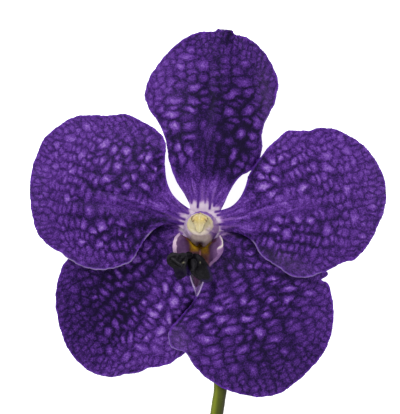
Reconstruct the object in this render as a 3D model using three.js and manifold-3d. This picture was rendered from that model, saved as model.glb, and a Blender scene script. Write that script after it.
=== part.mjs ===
// A single flower of a large purple-netted Vanda orchid, cut with its stalk and lying on its back.
// Millimetres, +Z up. The shapes are drawn about the axis of the column (x right, y towards the
// dorsal sepal, z up from the table); the whole flower is then moved so that the origin is the
// bottom centre of its box.
//
// Separate organs, one closed solid each: dorsal sepal, two petals, two lateral sepals, the lip
// (throat, two side lobes, two-winged mid lobe and spur grow as one), the column, the anther cap
// that lifts off the column's tip, and the ovary with its stalk.

import * as THREE from 'three';
import { mergeVertices } from 'three/addons/utils/BufferGeometryUtils.js';
import Module from 'manifold-3d';

// ---------------------------------------------------------------- driving dimensions (mm)
const SPREAD = 96.77;             // across the two petals
const DRAWN_SPREAD = 96.77;       // the same in the outlines below, which are drawn at this size
const STALK_DIAMETER = 3.2;       // of the cut stalk, behind the ovary
const COLUMN_TOP = 20.8;          // height of the column's tip above the table
const CAP_GAP = 0.3;              // between the column's tip and the anther cap
const CAP_HEIGHT = 1.8;           // of the anther cap
const ORIGIN_SHIFT = [-2.192, 1.703, 0.021];   // column axis at the table -> bottom centre of the box
const SEGMENTS_ACROSS = 12;     // grid of one sepal or petal
const SEGMENTS_ALONG = 18;

// Each blade: L and R are its two margins from claw to tip, axis is the direction of its midrib in
// degrees, prof gives the height of the midrib (distance from the column axis, height), curv how
// strongly the blade arches across the midrib, groove the shallow furrow over the midrib (depth,
// half width, start, full), bumps the waves of the blade (x, y, height, two widths, turn in
// degrees) and t the thickness in the middle and at the margin.
const BLADES = {
  dorsal_sepal: {
    L: [
      [-2.43, 2.43], [-2.97, 5.13], [-4.32, 7.97], [-5.94, 11.07], [-7.51, 14.85], [-8.51, 18.63],
      [-9.02, 22.14], [-10.37, 26.06], [-12.26, 29.3], [-13.99, 32.0], [-14.85, 35.1], [-14.23, 38.21],
      [-12.85, 41.04], [-11.21, 43.52], [-9.34, 45.85], [-7.29, 47.93], [-4.97, 49.82], [-2.43, 51.41],
      [0.49, 52.22], [2.7, 52.3], [4.21, 52.49], [5.02, 53.08], [5.83, 52.7],
    ],
    R: [
      [3.51, 2.29], [5.27, 3.78], [6.48, 5.94], [7.56, 8.37], [9.18, 11.21], [10.94, 13.28], [13.1, 14.5],
      [14.99, 16.2], [16.2, 18.36], [16.69, 21.06], [16.47, 24.03], [17.25, 27.0], [18.5, 29.81], [20.14, 32.67],
      [20.63, 35.1], [21.17, 38.07], [20.36, 41.23], [19.01, 44.04], [17.36, 46.71], [15.12, 48.92],
      [12.96, 50.6], [11.07, 51.14], [9.72, 51.35], [9.07, 51.95], [8.59, 52.65], [7.29, 52.68],
    ],
    axis: 86.0,
    prof: [[0, 11.2], [5, 11.35], [12, 12.0], [20, 12.35], [28, 11.7], [36, 9.9], [43, 7.7], [49, 5.6], [54, 3.9]],
    curv: [[0, 0.0], [8, 0.01], [18, 0.0125], [30, 0.0105], [45, 0.006], [54, 0.004]],
    groove: [0.3, 1.6, 6, 40],
    bumps: [
      [7.2, 51.6, 0.7, 1.6, 1.6, 0], [9.4, 50.0, -0.8, 1.5, 3.0, 20], [-13.5, 31, -0.9, 3.5, 4.5, 0],
      [-9.5, 41.5, 0.6, 3.5, 3.5, 0], [19.8, 38.5, -0.9, 3.0, 4.5, 0], [17.0, 28.5, -1.3, 2.6, 4.5, 0],
      [15.5, 20, 0.7, 3.0, 3.0, 0], [-7.5, 14.5, 0.6, 3, 4, 0], [15, 44, 0.5, 3.5, 3.5, 0],
      [0, 47.5, -0.4, 4, 3, 0],
    ],
    t: [0.85, 0.46],
  },
  petal_left: {
    R: [
      [-1.35, 3.38], [-3.65, 4.81], [-5.83, 6.48], [-7.7, 8.64], [-8.91, 11.48], [-9.45, 14.72], [-9.48, 17.96],
      [-9.18, 20.52], [-9.45, 22.46], [-10.67, 24.52], [-12.8, 26.24], [-14.96, 27.43], [-16.96, 28.46],
      [-18.55, 29.38], [-20.68, 29.89], [-23.49, 29.59], [-27.0, 29.54], [-30.59, 29.73], [-34.13, 29.19],
      [-37.31, 27.49], [-40.28, 25.43], [-42.39, 23.44], [-43.47, 21.2], [-44.12, 19.17], [-45.36, 16.12],
      [-45.93, 12.8], [-46.04, 10.8],
    ],
    L: [
      [-2.16, -2.29], [-4.05, -1.22], [-6.08, -0.05], [-8.24, 0.49], [-10.4, 0.05], [-12.42, -1.13],
      [-14.04, -2.75], [-15.44, -4.59], [-16.58, -6.75], [-17.77, -8.69], [-19.33, -10.1], [-21.25, -10.96],
      [-23.54, -11.56], [-26.73, -11.93], [-29.7, -11.61], [-32.08, -10.85], [-34.02, -9.94], [-36.07, -8.59],
      [-37.64, -7.34], [-40.12, -5.99], [-42.71, -3.89], [-44.5, -1.08], [-45.41, 2.7], [-45.95, 5.94],
      [-46.06, 8.24],
    ],
    axis: 168.0,
    prof: [
      [0, 12.75], [5, 12.85], [11, 13.15], [18, 13.05], [26, 11.7], [33, 9.15], [39, 6.1], [43.5, 3.35],
      [47, 0.78],
    ],
    curv: [[0, 0.0], [8, 0.002], [16, 0.0035], [30, 0.005], [47, 0.0035]],
    groove: [0.28, 1.5, 7, 34],
    bumps: [
      [-9.6, 22, 0.7, 2.6, 3.0, 0], [-11, 27, -0.8, 3.2, 3.2, 0], [-21, 29.8, 0.9, 3.6, 3.2, 0],
      [-33, 27, -0.6, 4, 3.5, 0], [-43.5, 21, 0.5, 3, 3, 0], [-41.5, -5.0, 0.5, 3.2, 3.2, 0],
      [-30, -11.5, 0.7, 4, 3, 0], [-16.5, -8.5, 0.6, 3.0, 3.5, 0], [-10, -0.5, 0.7, 3.5, 1.6, 10],
      [-23.5, 8.6, -0.35, 5.0, 0.8, -10], [-13, 5, -0.35, 5.0, 2.2, -8],
    ],
    t: [0.82, 0.45],
  },
  petal_right: {
    L: [
      [1.62, 3.38], [3.78, 3.78], [6.1, 4.05], [8.26, 4.86], [9.99, 6.26], [11.34, 8.21], [12.31, 10.53],
      [13.01, 12.96], [14.04, 14.96], [15.39, 16.85], [16.96, 18.85], [18.36, 20.68], [19.71, 22.19],
      [21.01, 23.06], [21.92, 24.19], [23.0, 25.0], [24.57, 25.38], [27.43, 25.43], [29.7, 25.49],
      [31.86, 26.06], [34.02, 26.22], [36.18, 25.95], [38.34, 25.16], [41.53, 23.54], [44.39, 21.33],
      [46.79, 18.63], [48.68, 15.58], [50.06, 12.34], [50.41, 9.99],
    ],
    R: [
      [2.43, -2.29], [4.46, -1.62], [6.75, -1.57], [9.18, -1.78], [11.61, -2.54], [13.5, -3.65], [14.85, -5.13],
      [15.82, -7.02], [17.28, -8.78], [19.17, -9.99], [21.06, -11.12], [22.95, -12.58], [24.84, -13.72],
      [27.0, -14.12], [29.43, -13.93], [31.59, -13.15], [33.75, -12.39], [36.18, -11.34], [38.07, -10.26],
      [39.96, -9.8], [41.85, -9.26], [44.12, -7.02], [46.52, -3.54], [47.95, -0.73], [49.28, 2.19],
      [50.27, 5.27], [50.46, 7.56],
    ],
    axis: 8.5,
    prof: [
      [0, 12.75], [5, 12.85], [11, 13.15], [19, 13.05], [28, 11.8], [36, 9.25], [42.5, 6.2], [47.3, 3.35],
      [51.2, 0.57],
    ],
    curv: [[0, 0.0], [8, 0.002], [16, 0.003], [30, 0.0045], [51, 0.0032]],
    groove: [0.28, 1.5, 8, 36],
    bumps: [
      [13.2, 16.5, 0.6, 3.0, 3.0, 40], [20, 23.5, -0.8, 2.8, 2.8, 0], [25.5, 25.8, 0.8, 3.2, 3.0, 0],
      [34, 26.6, -0.6, 3.6, 3, 0], [44, 18.5, 0.5, 3.5, 3.5, 0], [49, 8, -0.4, 3, 3, 0],
      [43.5, -7, 0.6, 3.2, 3.2, 0], [38.6, -9.5, -0.5, 2.4, 2.4, 0], [28, -14, 0.7, 3.5, 3, 0],
      [16, -7, 0.5, 3.0, 3.5, 0], [12, -0.8, 0.6, 3.5, 1.6, -10], [26, 4.5, -0.35, 6, 0.9, 10],
      [14, 3.5, -0.35, 5.0, 2.2, 8],
    ],
    t: [0.82, 0.45],
  },
  lateral_sepal_left: {
    L: [
      [-1.35, -2.97], [-2.57, -5.4], [-3.08, -8.37], [-3.05, -11.21], [-2.38, -14.45], [-1.4, -17.14],
      [-0.65, -19.71], [-0.32, -22.14], [-0.38, -24.84], [-0.81, -27.95], [-1.62, -30.92], [-2.97, -33.34],
      [-4.59, -34.99], [-6.75, -36.45], [-8.64, -37.69], [-10.72, -38.23], [-13.61, -38.66], [-15.8, -39.74],
      [-17.82, -40.34], [-20.52, -40.5], [-22.41, -41.04], [-24.17, -41.31],
    ],
    R: [
      [-2.43, -0.41], [-4.86, 0.95], [-7.83, 1.76], [-11.61, 1.08], [-15.93, -1.35], [-21.87, -4.05],
      [-27.54, -5.94], [-32.4, -7.34], [-35.91, -9.45], [-37.8, -12.83], [-38.93, -17.55], [-39.15, -21.6],
      [-38.53, -25.65], [-37.45, -29.7], [-36.02, -33.37], [-33.89, -36.45], [-31.19, -38.99], [-28.62, -40.39],
      [-26.33, -41.04],
    ],
    axis: -126.5,
    prof: [[0, 11.0], [5, 11.0], [10, 10.6], [16, 9.7], [22, 8.6], [30, 6.8], [38, 4.6], [45, 2.35], [51, 0.22]],
    curv: [[0, 0.0], [8, 0.001], [16, 0.004], [30, 0.005], [51, 0.0035]],
    groove: [0.28, 1.5, 7, 36],
    bumps: [
      [-36, -26, 0.5, 3.5, 3.5, 0], [-38.5, -17, -0.4, 3.5, 3.5, 0], [-11, -38.3, 0.6, 3.0, 2.5, 0],
      [-17, -40, -0.5, 2.6, 2.6, 0], [-24, -41, 0.5, 3, 3, 0], [-32, -38, -0.3, 3, 3, 0],
    ],
    t: [0.82, 0.45],
  },
  lateral_sepal_right: {
    R: [
      [1.22, -4.05], [1.89, -6.75], [2.05, -9.99], [1.51, -13.23], [0.43, -16.2], [-1.0, -19.33], [-2.7, -21.87],
      [-4.86, -24.41], [-7.02, -26.73], [-8.42, -28.84], [-8.37, -31.05], [-7.67, -32.83], [-6.1, -33.64],
      [-4.32, -34.18], [-2.92, -35.8], [-1.35, -38.07], [0.81, -40.39], [3.67, -42.55], [6.75, -44.28],
      [9.99, -45.47], [12.42, -46.06],
    ],
    L: [
      [2.97, -1.22], [5.94, -0.27], [9.72, 0.0], [14.04, -1.08], [18.36, -3.51], [22.68, -6.35], [27.0, -9.04],
      [30.24, -11.21], [32.24, -12.37], [33.86, -12.58], [34.4, -13.18], [33.91, -13.82], [32.89, -14.42],
      [32.56, -14.8], [33.26, -15.17], [34.34, -15.55], [35.05, -17.17], [35.69, -19.71], [36.07, -23.22],
      [35.94, -27.0], [35.21, -30.27], [34.13, -33.32], [32.4, -36.07], [30.35, -38.45], [28.19, -40.66],
      [25.87, -42.8], [23.17, -44.66], [20.12, -46.06], [16.74, -46.55], [14.58, -46.44],
    ],
    axis: -66.0,
    prof: [[0, 11.2], [5, 11.4], [10, 11.6], [16, 11.4], [22, 10.7], [30, 9.2], [38, 7.3], [45, 5.3], [51, 3.4]],
    curv: [[0, 0.0], [8, 0.001], [16, 0.0022], [30, 0.004], [51, 0.0035]],
    groove: [0.28, 1.5, 7, 36],
    bumps: [
      [-8, -29, -0.5, 3.0, 3.0, 0], [-7.5, -33, 0.7, 2.2, 2.4, 0], [-2.5, -36, -0.7, 2.4, 2.4, 0],
      [2.5, -41, 0.4, 3, 2.5, 0], [32, -14, 0.5, 2.2, 2.2, 0], [36, -24, -0.5, 3.5, 3.5, 0],
      [33.5, -34, 0.5, 3.5, 3.5, 0], [25, -43, -0.4, 3.5, 3.5, 0], [14, -46, 0.5, 3.5, 3, 0],
    ],
    t: [0.82, 0.45],
  },
  lip_lobe_left: {
    L: [
      [-1.7, -11.2], [-2.6, -12.0], [-3.6, -13.4], [-4.6, -14.2], [-5.7, -14.0], [-6.4, -12.9], [-6.5, -11.7],
      [-7.4, -10.7], [-8.3, -10.0], [-8.7, -9.4],
    ],
    R: [
      [-0.4, -7.9], [-1.4, -7.4], [-2.6, -7.3], [-3.8, -7.7], [-4.9, -7.5], [-6.1, -7.3], [-7.2, -7.4],
      [-8.0, -7.9], [-8.6, -8.4], [-8.8, -8.8],
    ],
    axis: -165.0,
    prof: [[1, 19.6], [3.5, 20.3], [6, 20.7], [9, 20.6], [11, 20.1]],
    curv: [[0, 0.0], [5, 0.0], [10, 0.0]],
    groove: [0, 1, 0, 1],
    bumps: [
      [-5.0, -10.0, 0.9, 4.0, 0.9, -12], [-5.2, -13.2, -1.9, 1.8, 1.6, 0], [-3.0, -8.0, 0.4, 2.0, 0.8, 0],
      [-6.8, -8.1, 0.25, 1.2, 0.8, 0], [-5.2, -8.8, -0.35, 2.2, 0.5, -8],
    ],
    t: [0.55, 0.4],
  },
  lip_lobe_right: {
    L: [
      [-0.2, -7.6], [1.0, -8.2], [1.9, -9.4], [2.5, -10.9], [2.9, -12.4], [3.05, -13.8], [2.6, -14.9],
      [1.9, -15.3],
    ],
    R: [
      [-2.6, -8.6], [-2.9, -9.6], [-2.7, -10.8], [-2.4, -11.9], [-1.9, -13.0], [-1.1, -14.0], [0.0, -14.8],
      [1.0, -15.35],
    ],
    axis: -62.0,
    prof: [[5, 20.0], [7.5, 20.5], [10, 20.5], [12, 19.6], [14.6, 17.9]],
    curv: [[0, 0.05], [4, 0.07], [8, 0.07]],
    groove: [0, 1, 0, 1],
    bumps: [[-0.4, -10.5, 0.45, 3.0, 0.7, -70], [1.2, -11.8, -0.3, 2.2, 0.6, -65]],
    t: [0.55, 0.4],
  },
};

// Curved plates given by rows of points, from the throat outwards, and their thickness.
const PLATES = {
  ear_left: {
    rows: [
      [[-2.5, -5.9, 13.9], [-4.1, -3.9, 14.5], [-5.3, -2.5, 15.8]],
      [[-2.4, -6.6, 13.7], [-5.2, -4.9, 15.2], [-7.2, -3.9, 18.0]],
      [[-2.3, -7.8, 13.7], [-5.4, -6.9, 15.4], [-7.4, -6.6, 18.9]],
      [[-2.0, -9.3, 13.9], [-4.8, -9.0, 15.4], [-6.8, -9.2, 18.4]],
      [[-1.8, -10.6, 14.3], [-3.6, -10.8, 15.4], [-5.0, -11.3, 17.0]],
    ],
    t: 0.42,
  },
  ear_right: {
    rows: [
      [[2.6, -5.9, 13.9], [4.0, -4.1, 14.5], [5.2, -3.1, 15.8]],
      [[2.5, -6.7, 13.7], [4.8, -5.4, 15.3], [6.2, -4.8, 18.0]],
      [[2.4, -8.0, 13.7], [4.9, -7.3, 15.6], [6.3, -7.4, 19.0]],
      [[2.2, -9.6, 13.9], [4.4, -9.6, 15.6], [5.8, -9.8, 18.6]],
      [[2.0, -11.0, 14.3], [3.4, -11.4, 15.4], [4.3, -11.9, 16.8]],
    ],
    t: 0.42,
  },
};

// Round forms: rings given by centre x, y, z and two half widths.
const LOFTS = {
  pedicel: [
    [0.1, -0.9, 9.75, 3.0, 3.0], [0.08, -1.05, 8.8, 2.6, 2.6], [-0.1, -2.9, 7.4, 2.2, 2.2],
    [-0.4, -6.2, 4.7, 1.95, 1.95], [-0.7, -11.5, 2.9, 1.8, 1.8], [-0.8, -18, 2.0, 1.7, 1.7],
    [0.6, -27, 1.7, 1.65, 1.65], [3.4, -36, 1.64, 1.62, 1.62], [5.3, -44.6, 1.62, 1.6, 1.6],
    [4.6, -51, 1.6, 1.6, 1.6], [3.9, -56, 1.6, 1.6, 1.6],
  ],
  column: [
    [0.3, -1.4, 13.85, 4.5, 4.1], [0.3, -1.2, 15.2, 4.45, 4.05], [0.3, -0.6, 17.0, 4.35, 3.95],
    [0.2, 0.1, 19.0, 4.05, 3.6], [0.08, 0.44, 20.3, 3.7, 3.2], [0.04, 0.52, 20.8, 3.2, 2.7],
  ],
  anther: [
    [-0.12, 0.95, 0.0, 0.94, 0.94], [-0.12, 0.95, 0.22, 1.0, 1.0], [-0.12, 0.98, 0.56, 0.86, 0.86],
    [-0.12, 1.05, 0.83, 0.58, 0.58], [-0.12, 1.1, 1.0, 0.25, 0.25],
  ],
  neck: [
    [-0.1, -9.2, 13.6, 2.0, 1.5], [-0.4, -9.0, 15.5, 1.9, 1.2], [-0.8, -8.9, 17.5, 1.8, 1.1],
    [-1.4, -9.2, 20.4, 1.9, 1.2],
  ],
  spur: [
    [-0.2, -8.6, 13.2, 2.0, 1.9], [-0.4, -10.2, 12.0, 1.7, 1.6], [-0.65, -12.6, 10.8, 1.35, 1.3],
    [-0.85, -15.0, 9.7, 0.9, 0.9], [-0.95, -16.2, 9.2, 0.5, 0.5],
  ],
  throat: [[0, -6.4, 13.9, 2.6, 0.9], [0, -7.4, 13.7, 3.3, 1.3], [0, -9.0, 13.7, 3.3, 1.4], [0, -10.6, 14.1, 2.4, 1.0]],
};
const COLUMN_RINGS = LOFTS.column.map(([x, y, z, a, b], i, all) =>
  [x, y, i === all.length - 1 ? COLUMN_TOP : z, a, b]);
const CAP_RINGS = LOFTS.anther.map(([x, y, h, a, b]) => [x, y, COLUMN_TOP + CAP_GAP + CAP_HEIGHT * h, a, b]);
const STALK_RINGS = LOFTS.pedicel.map(([x, y, z, a, b]) =>
  [x, y, z, a * STALK_DIAMETER / 3.2, b * STALK_DIAMETER / 3.2]);

// ---------------------------------------------------------------- curves and height fields
function cubic(table, s) {
  const n = table.length;
  if (s <= table[0][0]) return table[0][1];
  if (s >= table[n - 1][0]) {
    const k = (table[n - 1][1] - table[n - 2][1]) / (table[n - 1][0] - table[n - 2][0]);
    return table[n - 1][1] + k * (s - table[n - 1][0]);
  }
  let i = 0;
  while (s > table[i + 1][0]) i++;
  const slope = (a, b) => (table[b][1] - table[a][1]) / (table[b][0] - table[a][0]);
  const m0 = slope(Math.max(i - 1, 0), i + 1), m1 = slope(i, Math.min(i + 2, n - 1));
  const h = table[i + 1][0] - table[i][0], t = (s - table[i][0]) / h;
  const t2 = t * t, t3 = t2 * t;
  return (2 * t3 - 3 * t2 + 1) * table[i][1] + (t3 - 2 * t2 + t) * h * m0
    + (-2 * t3 + 3 * t2) * table[i + 1][1] + (t3 - t2) * h * m1;
}

const smooth = (a, b, x) => {
  const t = Math.min(1, Math.max(0, (x - a) / (b - a)));
  return t * t * (3 - 2 * t);
};

function heightField(blade) {
  const a = blade.axis * Math.PI / 180, ca = Math.cos(a), sa = Math.sin(a);
  return (x, y) => {
    const s = x * ca + y * sa, t = -x * sa + y * ca;
    let z = cubic(blade.prof, s) - Math.max(0, cubic(blade.curv, s)) * t * t;
    const [gd, gw, g0, g1] = blade.groove;
    z -= gd * smooth(g0, g0 + 4, s) * (1 - smooth(g1, g1 + 8, s)) * Math.exp(-(t / gw) * (t / gw));
    for (const [bx, by, amp, sx, sy, turn] of blade.bumps) {
      const c = Math.cos(turn * Math.PI / 180), d = Math.sin(turn * Math.PI / 180);
      const p = ((x - bx) * c + (y - by) * d) / sx, q = (-(x - bx) * d + (y - by) * c) / sy;
      z += amp * Math.exp(-p * p - q * q);
    }
    return z;
  };
}

// A plate over a box grid: surface(u, v) gives the middle of the plate and its unit normal.
function plate(surface, thickness, nu, nv) {
  const g = new THREE.BoxGeometry(1, 1, 1, nu, nv, 1);
  const p = g.getAttribute('position');
  for (let i = 0; i < p.count; i++) {
    const u = p.getX(i) + 0.5, v = p.getY(i) + 0.5, side = Math.sign(p.getZ(i));
    const { point, normal } = surface(u, v);
    const rim = Math.min(1, 8 * Math.min(u, 1 - u), 8 * (1 - v) + 0.02);
    const h = 0.5 * (thickness[1] + (thickness[0] - thickness[1]) * rim) * side;
    p.setXYZ(i, point.x + normal.x * h, point.y + normal.y * h, point.z + normal.z * h);
  }
  return closed(g);
}

function blade(spec, nu = SEGMENTS_ACROSS, nv = SEGMENTS_ALONG) {
  const left = new THREE.SplineCurve(spec.L.map(([x, y]) => new THREE.Vector2(x, y)));
  const right = new THREE.SplineCurve(spec.R.map(([x, y]) => new THREE.Vector2(x, y)));
  const z = heightField(spec);
  const a = new THREE.Vector2(), b = new THREE.Vector2();
  return plate((u, v) => {
    left.getPointAt(v, a);
    right.getPointAt(v, b);
    const x = a.x + (b.x - a.x) * u, y = a.y + (b.y - a.y) * u, e = 0.15;
    const zx = (z(x + e, y) - z(x - e, y)) / (2 * e), zy = (z(x, y + e) - z(x, y - e)) / (2 * e);
    return { point: new THREE.Vector3(x, y, z(x, y)), normal: new THREE.Vector3(-zx, -zy, 1).normalize() };
  }, spec.t, nu, nv);
}

// A plate through rows of points.
function netPlate({ rows, t }, nu, nv) {
  const across = rows.map((r) => new THREE.CatmullRomCurve3(r.map((q) => new THREE.Vector3(...q))));
  const at = (u, v) => new THREE.CatmullRomCurve3(across.map((c) => c.getPoint(u))).getPoint(v);
  return plate((u, v) => {
    const e = 0.02, u0 = Math.max(0, u - e), u1 = Math.min(1, u + e);
    const v0 = Math.max(0, v - e), v1 = Math.min(1, v + e);
    const du = at(u1, v).sub(at(u0, v)), dv = at(u, v1).sub(at(u, v0));
    return { point: at(u, v), normal: du.cross(dv).normalize() };
  }, [t, t], nu, nv);
}

// A round form through rings; upright rings lie level, the others stand square to the path.
function loft(rings, { sides = 16, steps = 12, upright = false, outline = null } = {}) {
  const path = new THREE.CatmullRomCurve3(rings.map((r) => new THREE.Vector3(r[0], r[1], r[2])));
  const size = (k, t) => cubic(rings.map((r, i) => [i / (rings.length - 1), r[k]]), t);
  const g = new THREE.CylinderGeometry(1, 1, 1, sides, steps);
  const p = g.getAttribute('position');
  for (let i = 0; i < p.count; i++) {
    const t = 0.5 - p.getY(i), x = p.getX(i), y = p.getZ(i), r = Math.hypot(x, y);
    const c = path.getPoint(t), w = outline && r > 0.5 ? outline(Math.atan2(y, x), t) : 1;
    const ax = size(3, t) * w * x, ay = size(4, t) * w * y;
    if (upright) p.setXYZ(i, c.x + ax, c.y + ay, c.z);
    else {
      const T = path.getTangent(t), N = new THREE.Vector3(1, 0, 0);
      N.addScaledVector(T, -N.dot(T)).normalize();
      const B = new THREE.Vector3().crossVectors(T, N);
      p.setXYZ(i, c.x + N.x * ax + B.x * ay, c.y + N.y * ax + B.y * ay, c.z + N.z * ax + B.z * ay);
    }
  }
  return closed(g);
}

// Shared vertices merged, and the faces turned outwards.
function closed(g) {
  g.deleteAttribute('normal');
  g.deleteAttribute('uv');
  const m = mergeVertices(g, 1e-5), p = m.getAttribute('position'), idx = m.getIndex();
  const a = new THREE.Vector3(), b = new THREE.Vector3(), c = new THREE.Vector3();
  let volume = 0;
  for (let i = 0; i < idx.count; i += 3) {
    a.fromBufferAttribute(p, idx.getX(i));
    b.fromBufferAttribute(p, idx.getX(i + 1));
    c.fromBufferAttribute(p, idx.getX(i + 2));
    volume += a.dot(b.cross(c));
  }
  if (volume < 0) {
    for (let i = 0; i < idx.count; i += 3) {
      const k = idx.getX(i + 1);
      idx.setX(i + 1, idx.getX(i + 2));
      idx.setX(i + 2, k);
    }
  }
  return m;
}

// ---------------------------------------------------------------- joining
const wasm = await Module();
wasm.setup();

function solid(g) {
  return new wasm.Manifold(new wasm.Mesh({
    numProp: 3,
    vertProperties: new Float32Array(g.getAttribute('position').array),
    triVerts: new Uint32Array(g.getIndex().array),
  }));
}

function joined(geometries) {
  let whole = solid(geometries[0]);
  for (const g of geometries.slice(1)) whole = whole.add(solid(g));
  const m = whole.getMesh(), g = new THREE.BufferGeometry();
  g.setAttribute('position', new THREE.BufferAttribute(new Float32Array(m.vertProperties), 3));
  g.setIndex(new THREE.BufferAttribute(new Uint32Array(m.triVerts), 1));
  return g;
}

// ---------------------------------------------------------------- organs
const netted = (color) => new THREE.MeshStandardMaterial({ color, roughness: 0.55, metalness: 0 });
const waxy = (color) => new THREE.MeshStandardMaterial({ color, roughness: 0.35, metalness: 0 });

const SIZE = SPREAD / DRAWN_SPREAD;

function organ(name, geometry, material) {
  geometry.scale(SIZE, SIZE, SIZE);
  geometry.computeVertexNormals();
  const mesh = new THREE.Mesh(geometry, material);
  mesh.name = name;
  return mesh;
}

const flower = new THREE.Group();
flower.add(organ('dorsal_sepal', blade(BLADES.dorsal_sepal), netted(0x4b2f8c)));
flower.add(organ('petal_left', blade(BLADES.petal_left), netted(0x4a2d88)));
flower.add(organ('petal_right', blade(BLADES.petal_right), netted(0x4a2d88)));
flower.add(organ('lateral_sepal_left', blade(BLADES.lateral_sepal_left), netted(0x50349a)));
flower.add(organ('lateral_sepal_right', blade(BLADES.lateral_sepal_right), netted(0x50349a)));

// Outline of the anther cap about its middle, at every 20 degrees from +X anticlockwise: a shield
// with two shoulders, a small peak towards the dorsal sepal and a beak over the mouth of the lip.
const SHIELD = [1.95, 2.46, 2.3, 2.2, 2.36, 2.26, 2.27, 2.42, 2.45, 1.95, 1.58, 1.71, 2.14, 2.76, 2.59, 1.89, 1.58, 1.52];
const shield = (angle) => {
  const a = ((angle / (2 * Math.PI) + 1) % 1) * SHIELD.length, i = Math.floor(a), w = a - i;
  return SHIELD[i % SHIELD.length] * (1 - w) + SHIELD[(i + 1) % SHIELD.length] * w;
};

flower.add(organ('lip', joined([
  loft(LOFTS.throat, { sides: 12, steps: 5 }),
  netPlate(PLATES.ear_left, 4, 7),
  netPlate(PLATES.ear_right, 4, 7),
  loft(LOFTS.neck, { sides: 10, steps: 5 }),
  blade(BLADES.lip_lobe_left, 5, 8),
  blade(BLADES.lip_lobe_right, 5, 7),
  loft(LOFTS.spur, { sides: 10, steps: 6 }),
]), waxy(0x3a1c5e)));
flower.add(organ('column', loft(COLUMN_RINGS, { sides: 24, steps: 6, upright: true }), waxy(0xe9e2ee)));
flower.add(organ('anther_cap', loft(CAP_RINGS, { sides: 36, steps: 5, upright: true, outline: shield }), waxy(0xefe6c8)));
flower.add(organ('pedicel', loft(STALK_RINGS, { sides: 12, steps: 30 }), waxy(0x9aa05a)));

flower.position.set(...ORIGIN_SHIFT.map((v) => v * SIZE));

const orchid = new THREE.Group();
orchid.add(flower);
orchid.updateMatrixWorld(true);

export default orchid;
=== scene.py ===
import bpy
import numpy as np
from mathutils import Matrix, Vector


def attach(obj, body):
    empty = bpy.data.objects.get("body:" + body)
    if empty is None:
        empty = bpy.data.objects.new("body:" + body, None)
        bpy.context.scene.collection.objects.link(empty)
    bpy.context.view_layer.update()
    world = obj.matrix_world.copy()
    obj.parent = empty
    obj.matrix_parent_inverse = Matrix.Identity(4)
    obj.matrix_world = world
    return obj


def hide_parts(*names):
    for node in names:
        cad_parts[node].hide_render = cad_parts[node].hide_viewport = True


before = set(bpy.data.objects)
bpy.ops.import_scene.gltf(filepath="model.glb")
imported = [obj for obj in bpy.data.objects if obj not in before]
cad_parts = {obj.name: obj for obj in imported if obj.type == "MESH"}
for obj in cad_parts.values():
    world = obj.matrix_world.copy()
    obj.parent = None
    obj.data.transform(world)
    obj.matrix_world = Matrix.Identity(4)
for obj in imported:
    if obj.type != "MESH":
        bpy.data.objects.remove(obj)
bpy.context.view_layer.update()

# One cut flower of a purple-netted Vanda orchid, lying on its back. Shapes are drawn in
# millimetres about the column's axis, then moved to the frame's origin and turned to metres.
SHIFT = np.array([-2.192, 1.703, 0.021])

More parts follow.
